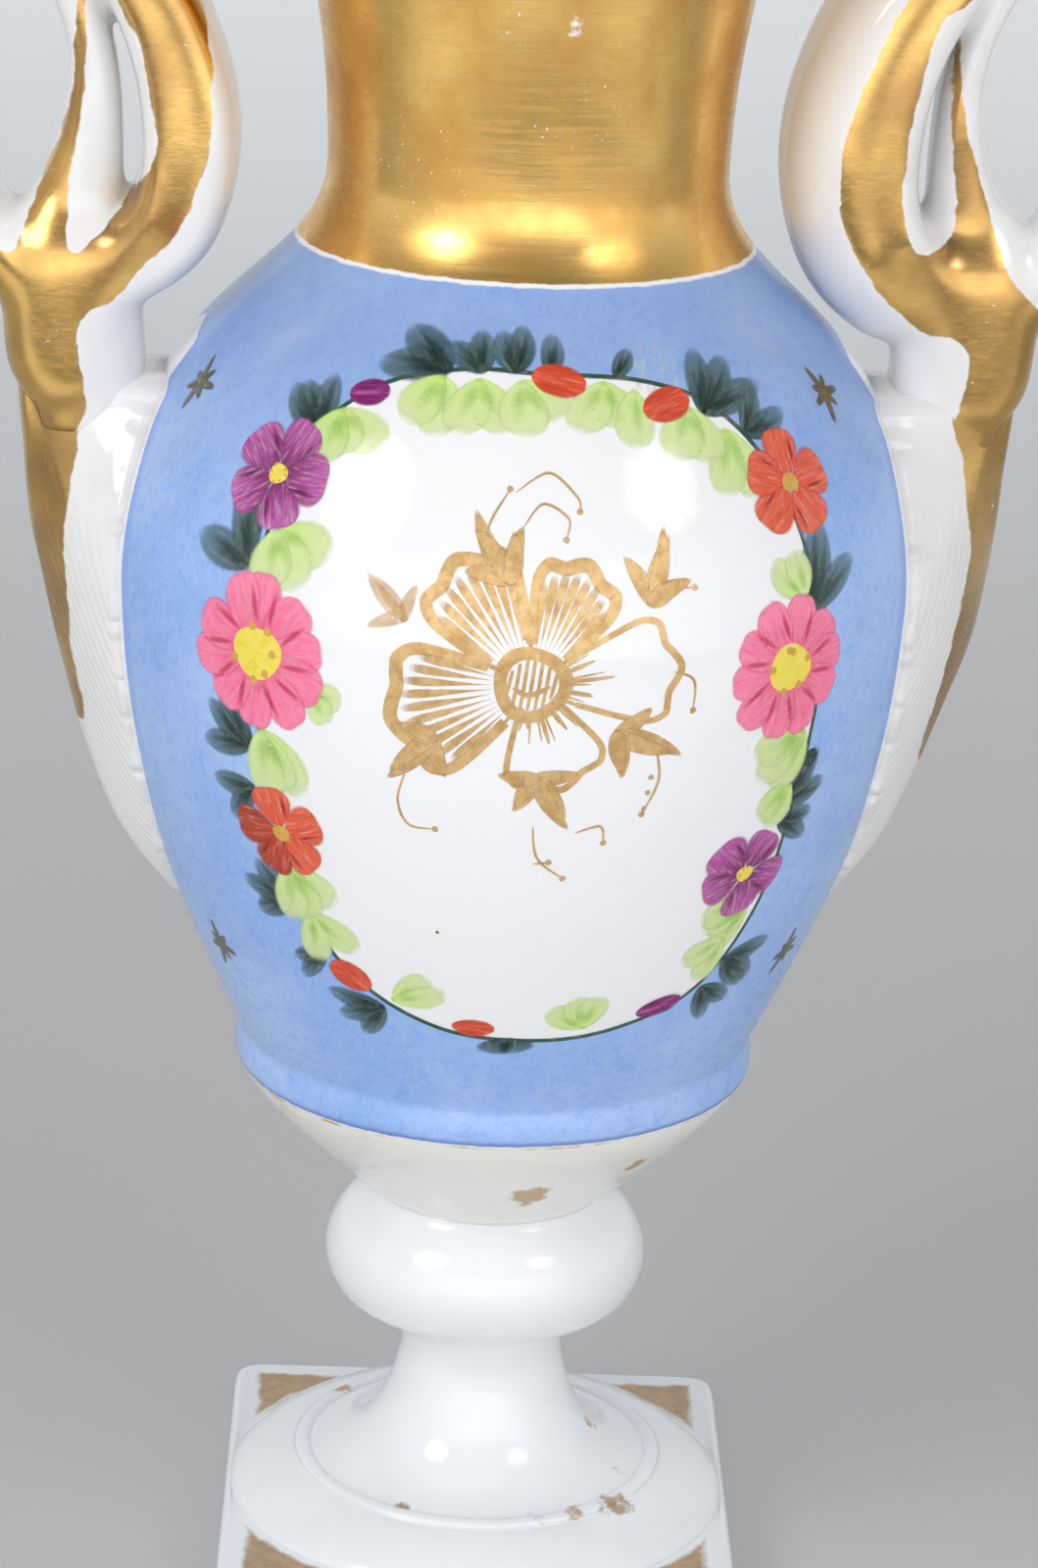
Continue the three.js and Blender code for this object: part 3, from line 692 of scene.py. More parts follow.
def makeFoot(material):
    # every row is a ring whose outline passes from a square with rounded corners to a circle:
    # r(a) = square(a) (1 - k) + circle k, with square(a) the distance to the plinth's side in direction a
    f = foot
    a = np.linspace(0, 2 * np.pi, f["columns"], endpoint=False)
    a = a - 0.16 * np.sin(4 * a) / 4
    sharp = 26.0
    square = 1 / (np.abs(np.cos(a)) ** sharp + np.abs(np.sin(a)) ** sharp) ** (1 / sharp)
    circle = np.ones(len(a))
    half, h, e, inner, low = f["plinth"] / 2, f["plinthHeight"], f["edge"], f["hollow"], f["hollowHeight"]
    bore, boreTop, soft = f["boreRadius"], f["boreTop"], 0.8
    quarter = np.linspace(0, np.pi / 2, 7)
    # the underside and the sides as (shape, size, level), from the middle of the bore out and up
    rings = [(circle, bore * share, boreTop) for share in (0.3, 0.6, 0.9)]
    rings += [(circle, bore, boreTop - 0.6), (circle, bore + 1, low + 0.2), (square, inner, low),
              (square, inner + 0.2, 0.5), (square, inner + 0.7, 0.0), (square, half - soft, 0.0)]
    rings += [(square, half - soft + soft * np.sin(t), soft - soft * np.cos(t))
              for t in np.linspace(0, np.pi / 2, 5)[1:]]
    rings += [(square, half, level) for level in (3.0, 6.0, h - e - 0.8)]
    rings += [(square, half - e + e * np.cos(t), h - e + e * np.sin(t)) for t in quarter]
    rows = [(shape * size, level) for shape, size, level in rings]
    side = square * (half - e)
    for k in (0.15, 0.4, 0.7, 0.9, 1.0):
        sag = 0.25 * np.sin(np.pi * min(k * 1.1, 1))
        rows.append((side * (1 - k) + np.minimum(f["domeRadius"], side) * k, h - sag))
    line = footOutline()
    rows += [(np.minimum(square * (half - e * 0.7) - 0.02 * (line[0][0] - r), r), level) for r, level in line]
    rows += [(circle * f["jointRadius"] * share, f["top"]) for share in (0.98, 0.7, 0.3)]
    radii, levels = np.array([r for r, level in rows]), np.array([[level] for r, level in rows])
    turn = math.radians(f["turn"])
    points, faces = closedTube(gridOf(radii * np.cos(a + turn), radii * np.sin(a + turn), levels))
    piece = putMesh("foot_knop_and_plinth", points, faces, material)
    p = pointsOf(piece)
    x = p[:, 0] * math.cos(turn) + p[:, 1] * math.sin(turn)
    y = p[:, 1] * math.cos(turn) - p[:, 0] * math.sin(turn)
    fromEdge = half - f["spandrelEdge"] - np.maximum(np.abs(x), np.abs(y))
    corner = np.minimum(fromEdge + 1.6, np.hypot(x, y) - f["spandrelRadius"])
    putNumbers(piece, "spandrel", np.where((p[:, 2] > h - 1) & (p[:, 2] < h + 0.6), corner, -9))
    near = [size - np.sqrt((x - px) ** 2 + (y - py) ** 2 + (p[:, 2] - pz) ** 2 * 1.4)
            for px, py, pz, size in f["traces"]]
    putNumbers(piece, "traces", np.max(near, axis=0))
    return piece


def footFinish():
    s, g = Shader("glazed foot with rubbed gilding"), glaze
    ragged = s.ragged(260.0, 5.0, 0.7, 1.0)
    spandrel = s.ramp(s.plus(s.read("spandrel"), s.times(ragged, 2.2)), 0.0, 1.1, 0.0, 0.92)
    traces = s.ramp(s.plus(s.read("traces"), s.times(ragged, 9.0)), 0.6, 2.2, 0.0, 0.85)
    area = s.larger(spandrel, traces)
    brown = s.mix(s.ramp(s.cloud(500.0, 3.0, 0.6), 0.35, 0.65), g["rubbedAndShadedGold"], g["bareGold"])
    soil = s.ramp(s.cloud(45.0, 4.0, 0.6), 0.45, 0.8, 0.0, 0.25)
    colour = s.over(g["footWhite"], (soil, g["footSoil"]), (area, brown))
    rough = s.blend(area, g["roughness"], g["wornRoughness"])
    return s.finish(Base_Color=colour, Metallic=s.times(area, 0.3), Roughness=rough, Normal=glazeSwell(s))


# Enamel painting: every brush stroke is a thin patch that follows the wall, up to 0.12 mm off the glaze


class Strokes:
    def __init__(self):
        self.parts, self.count, self.streaky = [], 0, 1.0

    def put(self, centre, x, y, lift, paint, cover, run, width):
        # x and y are a grid of lengths across and up from the centre (degrees from the front, height)
        degrees, level = centre
        angle = np.radians(degrees) + x / float(wallRadius(level))
        seed = dice.uniform(0, 90)
        self.parts.append((
            onWall(angle, lengthAt(level) + y, lift).reshape(-1, 3), gridFaces(*x.shape, False) + self.count,
            gridOf(width + seed, run, seed).reshape(-1, 3),
            np.broadcast_to(paint, x.shape + (4,)).reshape(-1, 4),
            np.broadcast_to(cover, x.shape).ravel(), np.full(x.size, self.streaky)))
        self.count += x.size

    def petal(self, centre, turn, start, length, width, base, tip, full=0.58, lift=0.05, bend=0.0,
              edge=0.0, see=1.0, shift=(0, 0), point=0.0, fade=0.0):
        # along the stroke s and across it t: half = width/2 s^p (1-s)^q, scaled to be widest at s = full
        s = 0.5 - 0.5 * np.cos(np.pi * np.linspace(0.03, 0.97, 15))[:, None]
        # a narrow stroke needs only the columns between which its edge thins
        inner = 1 - min(max(edge, 0.2), 0.5)
        t = (np.array([-1, -inner, 0, inner, 1]) if width < 2.7 else np.linspace(-1, 1, 11))[None, :]
        q = 0.5 + point
        p = q * full / (1 - full)
        shape = s ** p * (1 - s) ** q / (full ** p * (1 - full) ** q)
        sideways = t * shape * width / 2 + bend * length * s ** 2
        along = start + length * s + 0 * t
        a = math.radians(turn)
        x = shift[0] + along * math.sin(a) + sideways * math.cos(a)
        y = shift[1] + along * math.cos(a) - sideways * math.sin(a)
        mixed = np.clip(s + 0 * t, 0, 1)[..., None]
        paint = np.asarray(base) * (1 - mixed) + np.asarray(tip) * mixed
        rim = np.clip((1 - np.abs(t)) / max(edge, 1e-3), 0, 1)
        rim = rim * np.clip((1 - s) / max(edge * 0.7, 1e-3), 0, 1)
        rim = rim * np.clip(s / max(edge * 0.4, 1e-3), 0, 1)
        rim = np.where(edge > 0, rim * rim * (3 - 2 * rim), 1.0)
        self.put(centre, x, y, lift, paint, rim * see * (1 - fade * s), along, t * shape * width / 2)

    def line(self, centre, path, width, paint, lift=0.06, taper=0.6, see=1.0):
        # a ribbon along a path of (x, y) lengths from the centre, thinned towards its ends
        p = throughPoints(path, 10 * len(path)) if len(path) > 2 else np.linspace(path[0], path[1], 10)
        d = np.gradient(p, axis=0)
        d /= np.maximum(np.linalg.norm(d, axis=1), 1e-9)[:, None]
        s = np.linspace(0, 1, len(p))
        w = width / 2 * (1 - taper * np.abs(2 * s - 1) ** 2.5)
        t = np.array([-1.0, -0.4, 0.4, 1.0])[None, :]
        x = p[:, :1] + d[:, 1:] * w[:, None] * t
        y = p[:, 1:] - d[:, :1] * w[:, None] * t
        self.put(centre, x, y, lift, paint, see, s[:, None] * 10 + 0 * t, t * w[:, None])

    def disc(self, centre, radius, paint, lift=0.06, shift=(0, 0), squash=1.0, rim=0.0, see=1.0):
        # rings about the middle, drawn as a grid whose columns go around; rim cuts a hole
        s = np.linspace(max(rim, 0.02), 1, 5)[:, None] * radius
        a = np.linspace(0, -2 * np.pi, 25)[None, :]
        wave = 1 + 0.05 * np.sin(3 * a + dice.uniform(0, 6))
        x, y = shift[0] + s * np.cos(a) * wave, shift[1] + s * np.sin(a) * wave * squash
        self.put(centre, x, y, lift, paint, see, s + 0 * a, a + 0 * s)

    def make(self, name, material):
        points, faces, brush, paint, cover, strong = (np.concatenate(part) for part in zip(*self.parts))
        piece = putMesh(name, points, faces, material)
        putNumbers(piece, "brush", brush, "FLOAT_VECTOR")
        putNumbers(piece, "paint", paint, "FLOAT_COLOR")
        putNumbers(piece, "cover", cover)
        putNumbers(piece, "strong", strong)
        return piece


paints = dict(
    plum=tint(142, 36, 118), plumPale=tint(218, 122, 196), plumDark=tint(86, 10, 50),
    pink=tint(252, 118, 158), pinkPale=tint(255, 168, 196), pinkDark=tint(206, 40, 84),
    orange=tint(226, 84, 50), orangePale=tint(238, 128, 98), orangeDark=tint(134, 36, 28),
    yellow=tint(243, 222, 84), ochre=tint(214, 168, 70),
    pine=tint(26, 56, 48), pinePale=tint(104, 134, 130), slate=tint(104, 138, 156),
    limeDark=tint(158, 210, 84), lime=tint(200, 232, 120), limePale=tint(230, 244, 188),
    stem=tint(44, 84, 60), olive=tint(78, 84, 62), gilt=tint(206, 168, 98), star=tint(112, 110, 82),
    speck=tint(120, 112, 96), wash=tint(255, 240, 240),
    giltPale=tint(226, 190, 134), giltDeep=tint(198, 158, 100),
)
# flowers as (kind, degrees from the front, height, size, turn), and buds likewise
flowers = [
    ("plum", -41, 189.1, 8.6, 20), ("pink", -38.8, 164.6, 11.8, 5), ("orange", -37.2, 136.8, 7.8, -10),
    ("plum", 34.4, 131.9, 8.0, 30), ("pink", 35.4, 164.6, 10.8, 12), ("orange", 40, 189.6, 8.3, 5),
]
buds = [
    ("plum", -30.1, 201.1, 6.4, 4.6, 80), ("orange", 2.7, 204.2, 8.2, 5.6, 105),
    ("orange", 21.3, 201.1, 8.2, 5.6, 70), ("orange", -29.3, 114.0, 7.4, 5.4, -62),
    ("orange", -7.9, 107.3, 6.6, 3.4, 92), ("plum", 25.6, 109.9, 7.8, 3.6, 74),
]
# each bud is four strokes, as (shift to the side, length, width)
budStrokes = [(0, 1, 1), (-0.22, 0.86, 0.42), (0.24, 0.84, 0.42), (0.02, 0.9, 0.24)]
# leaves as (degrees, height, turn, how many, spread, length, width)
darkLeaves = [
    (-17, 204.5, -58, 2, 34, 9.5, 6.4), (-11, 204.8, -25, 2, 36, 6.4, 4.6), (-5, 205, -5, 2, 40, 6.2, 4.6),
    (1, 205, 15, 1, 20, 5.4, 4.0), (-36, 195.5, -42, 3, 46, 8.4, 5.0), (-41.5, 176.5, -50, 2, 50, 9.6, 6.0),
    (-42, 179, -20, 1, 20, 7.0, 4.4), (-40.5, 150, -66, 3, 62, 7.8, 4.6),
    (-41, 143.5, -120, 2, 36, 6.6, 4.2), (-37.5, 125, -76, 3, 60, 7.6, 4.6),
    (-33.5, 116.5, -108, 2, 34, 5.6, 3.4), (-24, 109.5, -122, 3, 56, 7.0, 4.0),
    (-2, 105.4, 176, 1, 10, 3.0, 9.0), (36.5, 116.5, 116, 3, 56, 7.6, 4.4),
    (33.5, 112, 140, 2, 40, 6.6, 4.0), (38.6, 143, 62, 2, 44, 7.4, 4.6), (38.4, 139.5, 96, 2, 30, 6.4, 3.8),
    (39.6, 172, 28, 3, 46, 10.4, 4.8), (27.5, 199.5, 42, 3, 50, 9.6, 5.2), (34, 196.5, 62, 2, 40, 7.4, 4.4),
    (13, 204.6, 40, 1, 10, 5.0, 3.2),
]
limeLeaves = [
    (-18, 204, -170, 2, 42, 8.2, 6.4), (-11.5, 204, 172, 2, 36, 8.6, 6.2), (-4, 204, 160, 2, 36, 8.4, 6.6),
    (10.5, 204, -176, 2, 40, 8.0, 6.0), (16, 203, -168, 1, 10, 9.6, 5.4),
    (25, 200.5, -172, 2, 34, 7.6, 6.4), (30.5, 197.5, 176, 2, 30, 10.4, 5.8),
    (-34, 198.5, 158, 3, 60, 7.8, 6.6), (-38.5, 182, 142, 3, 70, 8.4, 7.0),
    (-30.5, 160.2, 120, 2, 50, 4.6, 4.4), (-38.6, 153, 160, 3, 40, 10.6, 6.6),
    (-37.6, 131, 150, 3, 54, 9.4, 6.4), (-34.5, 124, 156, 2, 46, 9.0, 5.6),
    (-22, 110.8, 62, 2, 30, 7.4, 4.2), (12, 107.4, -24, 3, 64, 6.4, 4.6),
    (37.2, 126.4, -126, 3, 50, 9.0, 5.6), (34.5, 120.5, -140, 2, 40, 8.0, 5.0),
    (39.2, 154.6, -142, 3, 50, 8.8, 6.4), (38.6, 146, -150, 2, 34, 7.4, 5.2),
    (38.4, 174.5, -30, 2, 46, 7.2, 5.0),
]
# gold stars as (degrees, height, size), and the lengths of a star's strokes
starPlaces = [(-68, 196.6, 5.2), (58, 199, 5.2), (-62, 111, 5.0), (56.5, 113, 4.8)]
starStrokes = [1.1, 0.8, 1.0, 0.75, 1.15, 0.9, 0.7]
# how far each kind of stroke lies off the glaze; neighbouring leaves differ, so that no two share one surface
lifts = dict(stem=0.024, dark=0.028, lime=0.054, petal=0.082, bud=0.084, vein=0.105, middle=0.11, seed=0.114,
             leafStep=0.007)


def mixPaint(a, b, share):
    return tuple(np.asarray(a) * (1 - share) + np.asarray(b) * share)


def fan(turn, many, spread):
    # the directions of this many strokes spread evenly about one direction
    return [turn + (spread * (j / (many - 1) - 0.5) if many > 1 else 0) for j in range(many)]


def paintStem(k):
    outline = throughPoints(reserveOutline, 90, closed=True)
    for i in range(0, 90, 3):
        part = outline[np.arange(i, i + 4) % 90]
        middle = part[0]
        radius = float(wallRadius(middle[1]))
        path = [(math.radians(q[0] - middle[0]) * radius, float(lengthAt(q[1]) - lengthAt(middle[1])))
                for q in part]
        k.line(tuple(middle), path, 0.75, paints["stem"], lifts["stem"], 0.0, 0.85)


def paintLeaves(k, p):
    k.streaky = 0.55
    for i, (degrees, level, turn, many, spread, length, width) in enumerate(darkLeaves):
        place, length, width = (degrees, level), length * 1.3, width * 1.02
        at = lifts["dark"] + lifts["leafStep"] * (i % 3)
        for j, lean in enumerate(fan(turn, many, spread)):
            tone = dice.uniform(0, 0.6)
            base = mixPaint(p["pine"], p["pinePale"], tone * 0.5)
            tip = mixPaint(base, mixPaint(p["pinePale"], p["slate"], dice.uniform(0, 0.8)), 0.8 + tone * 0.4)
            bend = dice.uniform(-0.2, 0.2)
            k.petal(place, lean, -0.4, length * dice.uniform(0.9, 1.1), width, base, tip,
                    0.52, at + 0.002 * j, bend, 0.26, point=0.24, fade=0.5)
            for turned, long, wide in ((4, 0.9, 0.3), (-7, 0.7, 0.24)):
                k.petal(place, lean + turned, 0.2, length * long, width * wide, p["pine"], base,
                        0.42, at + 0.006 + 0.0001 * turned * (j + 1), bend, 0.8, 0.8, fade=0.4)
    k.streaky = 0.3
    for i, (degrees, level, turn, many, spread, length, width) in enumerate(limeLeaves):
        place, length, width = (degrees, level), length * 1.12, width * 1.1
        at = lifts["lime"] + lifts["leafStep"] * (i % 3)
        for j, lean in enumerate(fan(turn, many, spread)):
            base = mixPaint(p["lime"], p["limePale"], dice.uniform(0.0, 0.45))
            bend = dice.uniform(-0.12, 0.12)
            k.petal(place, lean, -0.4, length * dice.uniform(0.88, 1.12), width, base,
                    mixPaint(base, p["limePale"], 0.9), 0.6, at + 0.002 * j, bend, 0.24, point=0.1, fade=0.22)
            k.petal(place, lean + dice.uniform(-8, 8), 0.4, length * 0.75, width * 0.36, p["limeDark"], base,
                    0.4, at + 0.005 + 0.0015 * j, bend, 0.9, 0.6, fade=0.6)


def paintBuds(k, p):
    k.streaky = 0.8
    for kind, degrees, level, length, width, turn in buds:
        a = math.radians(turn)
        for j, (off, long, wide) in enumerate(budStrokes):
            aside, back = off * width, length * long / 2
            shift = (aside * math.cos(a) - math.sin(a) * back, -aside * math.sin(a) - math.cos(a) * back)
            soft, see = (0.12, 1.0) if j == 0 else (0.5, 0.6)
            first = p[kind] if j != 3 else p[kind + "Pale"]
            k.petal((degrees, level), turn + off * 20, 0, length * long, width * wide, first, p[kind],
                    0.5, lifts["bud"] + 0.003 * j, 0, soft, see, shift=shift, point=0.1)


# how each kind of flower is painted: its petals, their width, the size of its middle, how streaky it is, and
# how far the inner end of a petal goes to the main colour and the outer end to the pale one
flowerKinds = dict(
    plum=dict(petals=5, wide=0.94, middle=0.19, streaky=1.2, seed="yellow", inner="plumDark",
              toMain=0.55, toPale=0.65),
    pink=dict(petals=10, wide=0.62, middle=0.36, streaky=0.55, seed="yellow", inner="pinkDark",
              toMain=0.75, toPale=0.35),
    orange=dict(petals=5, wide=0.94, middle=0.19, streaky=0.9, seed="ochre", inner="orange",
                toMain=0.55, toPale=0.35),
)


def paintFlowers(k, p):
    for kind, degrees, level, size, turn in flowers:
        how, place = flowerKinds[kind], (degrees, level)
        k.streaky = how["streaky"]
        for j in range(how["petals"]):
            lean = turn + 360 * j / how["petals"] + dice.uniform(-6, 6)
            length = size * dice.uniform(0.93, 1.06)
            width = size * how["wide"] * dice.uniform(0.94, 1.06)
            first = mixPaint(p[how["inner"]], p[kind], how["toMain"])
            second = mixPaint(p[kind], p[kind + "Pale"], how["toPale"])
            # the orange flower on the left has burnt petals on one side
            if kind == "orange" and degrees < 0 and 190 < (lean % 360) < 330:
                first, second = (mixPaint(p["orangeDark"], p["orange"], share) for share in (0.55, 0.35))
            k.petal(place, lean, size * 0.08, length * 0.93, width, first, second,
                    0.66, lifts["petal"] + 0.002 * j, dice.uniform(-0.06, 0.06), 0.12)
            edge = math.radians(lean)
            for m in (-0.3, 0.05, 0.34):
                shift = (m * width * 0.5 * math.cos(edge), -m * width * 0.5 * math.sin(edge))
                streak = p[kind + ("Pale" if m < 0.2 else "Dark")]
                k.petal(place, lean + m * 22, size * 0.3, length * 0.6, size * 0.09, streak, streak,
                        0.5, lifts["vein"] + 0.004 * m, 0, 0.7, 0.55, shift=shift)
        middle = size * how["middle"]
        k.disc(place, middle, p[how["seed"]], lifts["middle"], squash=0.9)
        for j in range(6):
            a = 2 * math.pi * j / 6 + dice.uniform(-0.4, 0.4)
            reach = middle * dice.uniform(0.6, 1.0)
            shift = (reach * math.cos(a), reach * math.sin(a))
            k.disc(place, middle * 0.15, p["ochre"], lifts["seed"], shift=shift)


def paintGarland():
    k, p = Strokes(), paints
    paintStem(k)
    paintLeaves(k, p)
    paintBuds(k, p)
    paintFlowers(k, p)
    for degrees, level, size in starPlaces:
        lean = dice.uniform(-20, 20)
        for j, long in enumerate(starStrokes):
            k.petal((degrees, level), lean + 52 * j, -0.6, size * long, size * 0.32, p["star"], p["olive"],
                    0.3, 0.05 + 0.002 * j, 0, 0.3, 0.95, fade=0.2)
    # one stray dab beside the garland and one dark speck in the white
    k.disc((41.8, 149.4), 1.5, p["pine"], 0.06)
    k.disc((-13.5, 124.2), 0.28, p["speck"], 0.05)
    return k


# the gold flower: petals as (turn, reach, half width in degrees, veins), many veins going with a bold line;
# sprigs as (x, y, turn, leaves, spread, length); tendrils as paths from the flower's middle
goldPetals = [
    (-35, 20.0, 30, 8), (25, 18.0, 28, 8), (84, 21.0, 30, 3), (162, 16.2, 38, 3), (252, 20.2, 40, 10),
]
sprigs = [
    (-3.6, 14.6, -24, 5, 84, 11.5), (17.0, 11.6, 30, 5, 90, 11.0), (-18.6, 8.4, -46, 4, 95, 8.4),
    (-13.6, -8.8, -118, 5, 126, 10.0), (12.6, -7.4, 126, 5, 116, 10.6), (1.2, -14.2, 178, 6, 160, 10.2),
]
tendrils = [
    [(-6.5, 17), (-7.2, 22), (-4.2, 27.5)], [(-2, 22), (1, 25.5), (5, 23.5), (4.6, 20.5)],
    [(-3.4, 27), (2, 30), (6.5, 26.5), (6.8, 24.5)],
    [(-17.4, -13.5), (-19, -19), (-17.5, -23), (-13.4, -23.4)], [(1.2, -22), (2.2, -27.5), (6.4, -31)],
    [(7.6, -23.2), (11.4, -22.2), (12.2, -25)], [(1.6, -28.5), (4, -28.2)],
    [(18.5, -9.5), (19.6, -15), (17.6, -20.5)], [(20.4, 1.5), (23.6, 0), (23.8, -4.5)],
    [(16, 14), (19.6, 13.4), (24, 13.2)],
]


def paintGold(k, centre, plain):
    # five petals about a seeded middle, drawn in gold line, with sprigs and tendrils between them
    gold = paints["gilt"]
    for turn, reach, half, veins in goldPetals:
        bold = veins > 4
        u = np.linspace(-1, 1, 13)
        a = np.radians(turn + u * half)
        r = reach * (1 - 0.16 * u ** 2 - 0.5 * np.abs(u) ** 9) * (1 + 0.035 * np.cos(u * 9))
        x, y = r * np.sin(a), r * np.cos(a)
        k.line(centre, list(zip(x, y)), 2.1 if bold else 1.1, gold, 0.04, 0.25)
        for end in (0, -1):
            near = math.radians(turn + u[end] * half * 0.8)
            start, tip = (5 * math.sin(near), 5 * math.cos(near)), (x[end], y[end])
            k.line(centre, [start, (tip[0] * 0.72, tip[1] * 0.72), tip], 0.6, gold, 0.042, 0.4)
        for j in range(veins):
            v = (j + 0.5) / veins * 2 - 1
            end = reach * (1 - 0.18 * v ** 2) * (0.97 if bold else dice.uniform(0.45, 0.6))
            width, full = (1.45, 0.8) if bold else (0.7, 0.3)
            k.petal(centre, turn + v * half * 0.82, 4.6, end - 4.6, width, gold, gold, full, 0.044, 0, 0.3)
        for b in [] if bold else fan(turn, 6, half * 1.6):
            k.petal(centre, b, 4.4, reach * dice.uniform(0.16, 0.32), 0.36, gold, gold, 0.3, 0.044, 0, 0.3)
    k.disc(centre, 5.6, gold, 0.05, rim=0.66)
    for j in range(7):
        x = (j - 3) * 1.05
        y = math.sqrt(max(14 - x * x, 0.5))
        k.line(centre, [(x - 0.5, -y), (x, 0), (x + 0.4, y)], 0.5, gold, 0.052, 0.2)
    k.line(centre, [(-2.6, -0.5), (-0.4, -1.5), (2.6, -0.2)], 0.8, gold, 0.054)
    for x, y, turn, many, spread, length in sprigs[:3 if plain else 6]:
        for j, lean in enumerate(fan(turn, many, spread)):
            long = length * (1.05 if j in (1, 2) else 0.7) * dice.uniform(0.8, 1.1)
            k.petal(centre, lean, -0.8, long, length * 0.27, gold, gold, 0.42, 0.046 + 0.001 * j,
                    0.24 if j % 2 else -0.24, 0.2, 0.5 if x == -18.6 else 1.0, shift=(x, y), point=0.3)
    for path in tendrils[:4 if plain else 10]:
        k.line(centre, path, 0.42, gold, 0.045, 0.85, 0.9)
        k.disc(centre, 0.5, gold, 0.05, shift=path[-1])
    for y in (-14.5, -17.0, -19.6):
        k.disc(centre, 0.42, gold, 0.05, shift=(19.8 + 0.1 * y, y))


def enamelFinish():
    s = Shader("painted enamel")
    streaks = s.grain((2.2, 0.3, 1.0), 3.0, 0.62, vector=s.read("brush", "Vector"))
    paint, strong = s.read("paint", "Color"), s.read("strong")
    dark = s.add("ShaderNodeHueSaturation", {"Color": paint, "Value": 0.66, "Saturation": 1.25}).outputs[0]
    pale = s.mix(0.36, paint, paints["wash"])
    colour = s.over(paint, (s.times(s.ramp(streaks, 0.50, 0.72, 0.0, 0.6), strong), dark),
                    (s.times(s.ramp(streaks, 0.50, 0.30, 0.0, 0.6), strong), pale),
                    (s.ramp(s.cloud(700.0, 2.0, 0.5), 0.55, 0.75, 0.0, 0.2), dark))
    cover = s.times(s.read("cover"), s.ramp(streaks, 0.2, 0.36, 0.82, 1.0))
    return s.finish(Base_Color=colour, Roughness=0.08, Alpha=cover)


def giltLineFinish():
    s = Shader("gilt line")
    wear = s.cloud(420.0, 4.0, 0.65)
    rub = s.grain((900, 900, 300), 3.0, 0.6, (0.4, 0.3, 0.2))
    colour = s.mix(s.ramp(wear, 0.35, 0.65), paints["giltPale"], paints["giltDeep"])
    thin = s.times(s.ramp(wear, 0.26, 0.40, 0.45, 1.0), s.ramp(rub, 0.62, 0.72, 1.0, 0.5))
    rough = s.ramp(wear, 0.3, 0.7, 0.26, 0.42)
    return s.finish(Base_Color=colour, Metallic=0.4, Roughness=rough, Alpha=s.times(s.read("cover"), thin))


# The studio: a pale sweep, two umbrella lamps, a front card and a soft sky

studio = dict(
    sweepWidth=6.0, sweepFront=-3.0, sweepBack=1.9, bend=0.7, rise=3.4, sky=1.0, zenith=0.3,
    # umbrella lamps as (name, azimuth, elevation, distance, size, power)
    lamps=[("soft_box_left", -52, 35, 1.0, 0.44, 10.0), ("soft_box_right", 46, 38, 1.0, 0.40, 5.6)],
    cardDistance=1.3, cardHalfAngle=62, cardLow=0.01, cardHigh=0.78, cardPower=1.95,
    floorTint=tint(186, 186, 185), floorGrain=tint(190, 190, 189), nearTint=tint(250, 250, 250),
    # the wall's paler tint is painted light, like the sweep's glow
    frontTint=tint(120, 120, 120), litWallTint=tint(249, 250, 250), wallGlow=tint(250, 252, 255),
    skyTint=tint(240, 243, 248),
)


def makeSweep():
    # the sweep's section is a floor, a quarter circle and a wall, carried across its width
    w = studio
    a = np.linspace(0, np.pi / 2, 24)
    back, bend = w["sweepBack"], w["bend"]
    y = np.concatenate([[w["sweepFront"], 0.0], back + bend * np.sin(a), [back + bend]])[:, None]
    z = np.concatenate([[0.0, 0.0], bend - bend * np.cos(a), [w["rise"]]])[:, None]
    x = np.array([[-w["sweepWidth"] / 2, w["sweepWidth"] / 2]])
    s = Shader("pale sweep")
    depth = s.split("Y")
    colour = s.over(w["floorTint"], (s.cloud(3.0, 2.0, 0.5), w["floorGrain"]),
                    (s.fall(depth, -0.30, -0.06), w["nearTint"]),
                    (s.fall(depth, -0.60, -0.40), w["frontTint"]),
                    # painted light: the sweep turns paler from its floor up to its wall
                    (s.ramp(depth, 0.1, 1.7), w["litWallTint"]))
    # the sweep's own glow stands in for the lamps that light only the backdrop
    glow = s.ramp(depth, -0.1, 1.2, 0.065, 0.165)
    material = s.finish(Base_Color=colour, Roughness=0.9, Emission_Color=w["wallGlow"], Emission_Strength=glow)
    putMesh("sweep", gridOf(x, y, z).reshape(-1, 3) / mm, gridFaces(len(y), 2, False), material)


def shining(name, grid, glow, power):
    # a sheet that gives light, as bright at each point as its glow, and that the camera doesn't see
    s = Shader(name + " glow")
    s.shine(s.times(s.read("glow"), power))
    lamp = putMesh(name, grid.reshape(-1, 3) / mm, gridFaces(*grid.shape[:2], False), s.material)
    putNumbers(lamp, "glow", glow.ravel())
    lamp.visible_camera = False


def softBox(name, azimuth, elevation, distance, size, power):
    # a round umbrella lamp aimed at the belly, brighter along its eight gores and fading to its rim:
    # brightness = (1 - r^4) (0.45 + 0.55 |cos 4a|). Azimuth 0 is the front and + is to the right
    a, e = math.radians(azimuth), math.radians(elevation)
    back = np.array([math.sin(a) * math.cos(e), -math.cos(a) * math.cos(e), math.sin(e)])
    side = np.array([math.cos(a), math.sin(a), 0.0])
    middle = np.array([0, 0, 0.165]) + back * distance
    r = np.linspace(0.02, 1, 16)[:, None, None]
    around = np.linspace(0, 2 * np.pi, 65)[None, :, None]
    grid = middle + r * size / 2 * (np.cos(around) * side + np.sin(around) * np.cross(back, side))
    shining(name, grid, (1 - r ** 4) * (0.45 + 0.55 * np.abs(np.cos(4 * around))), power)


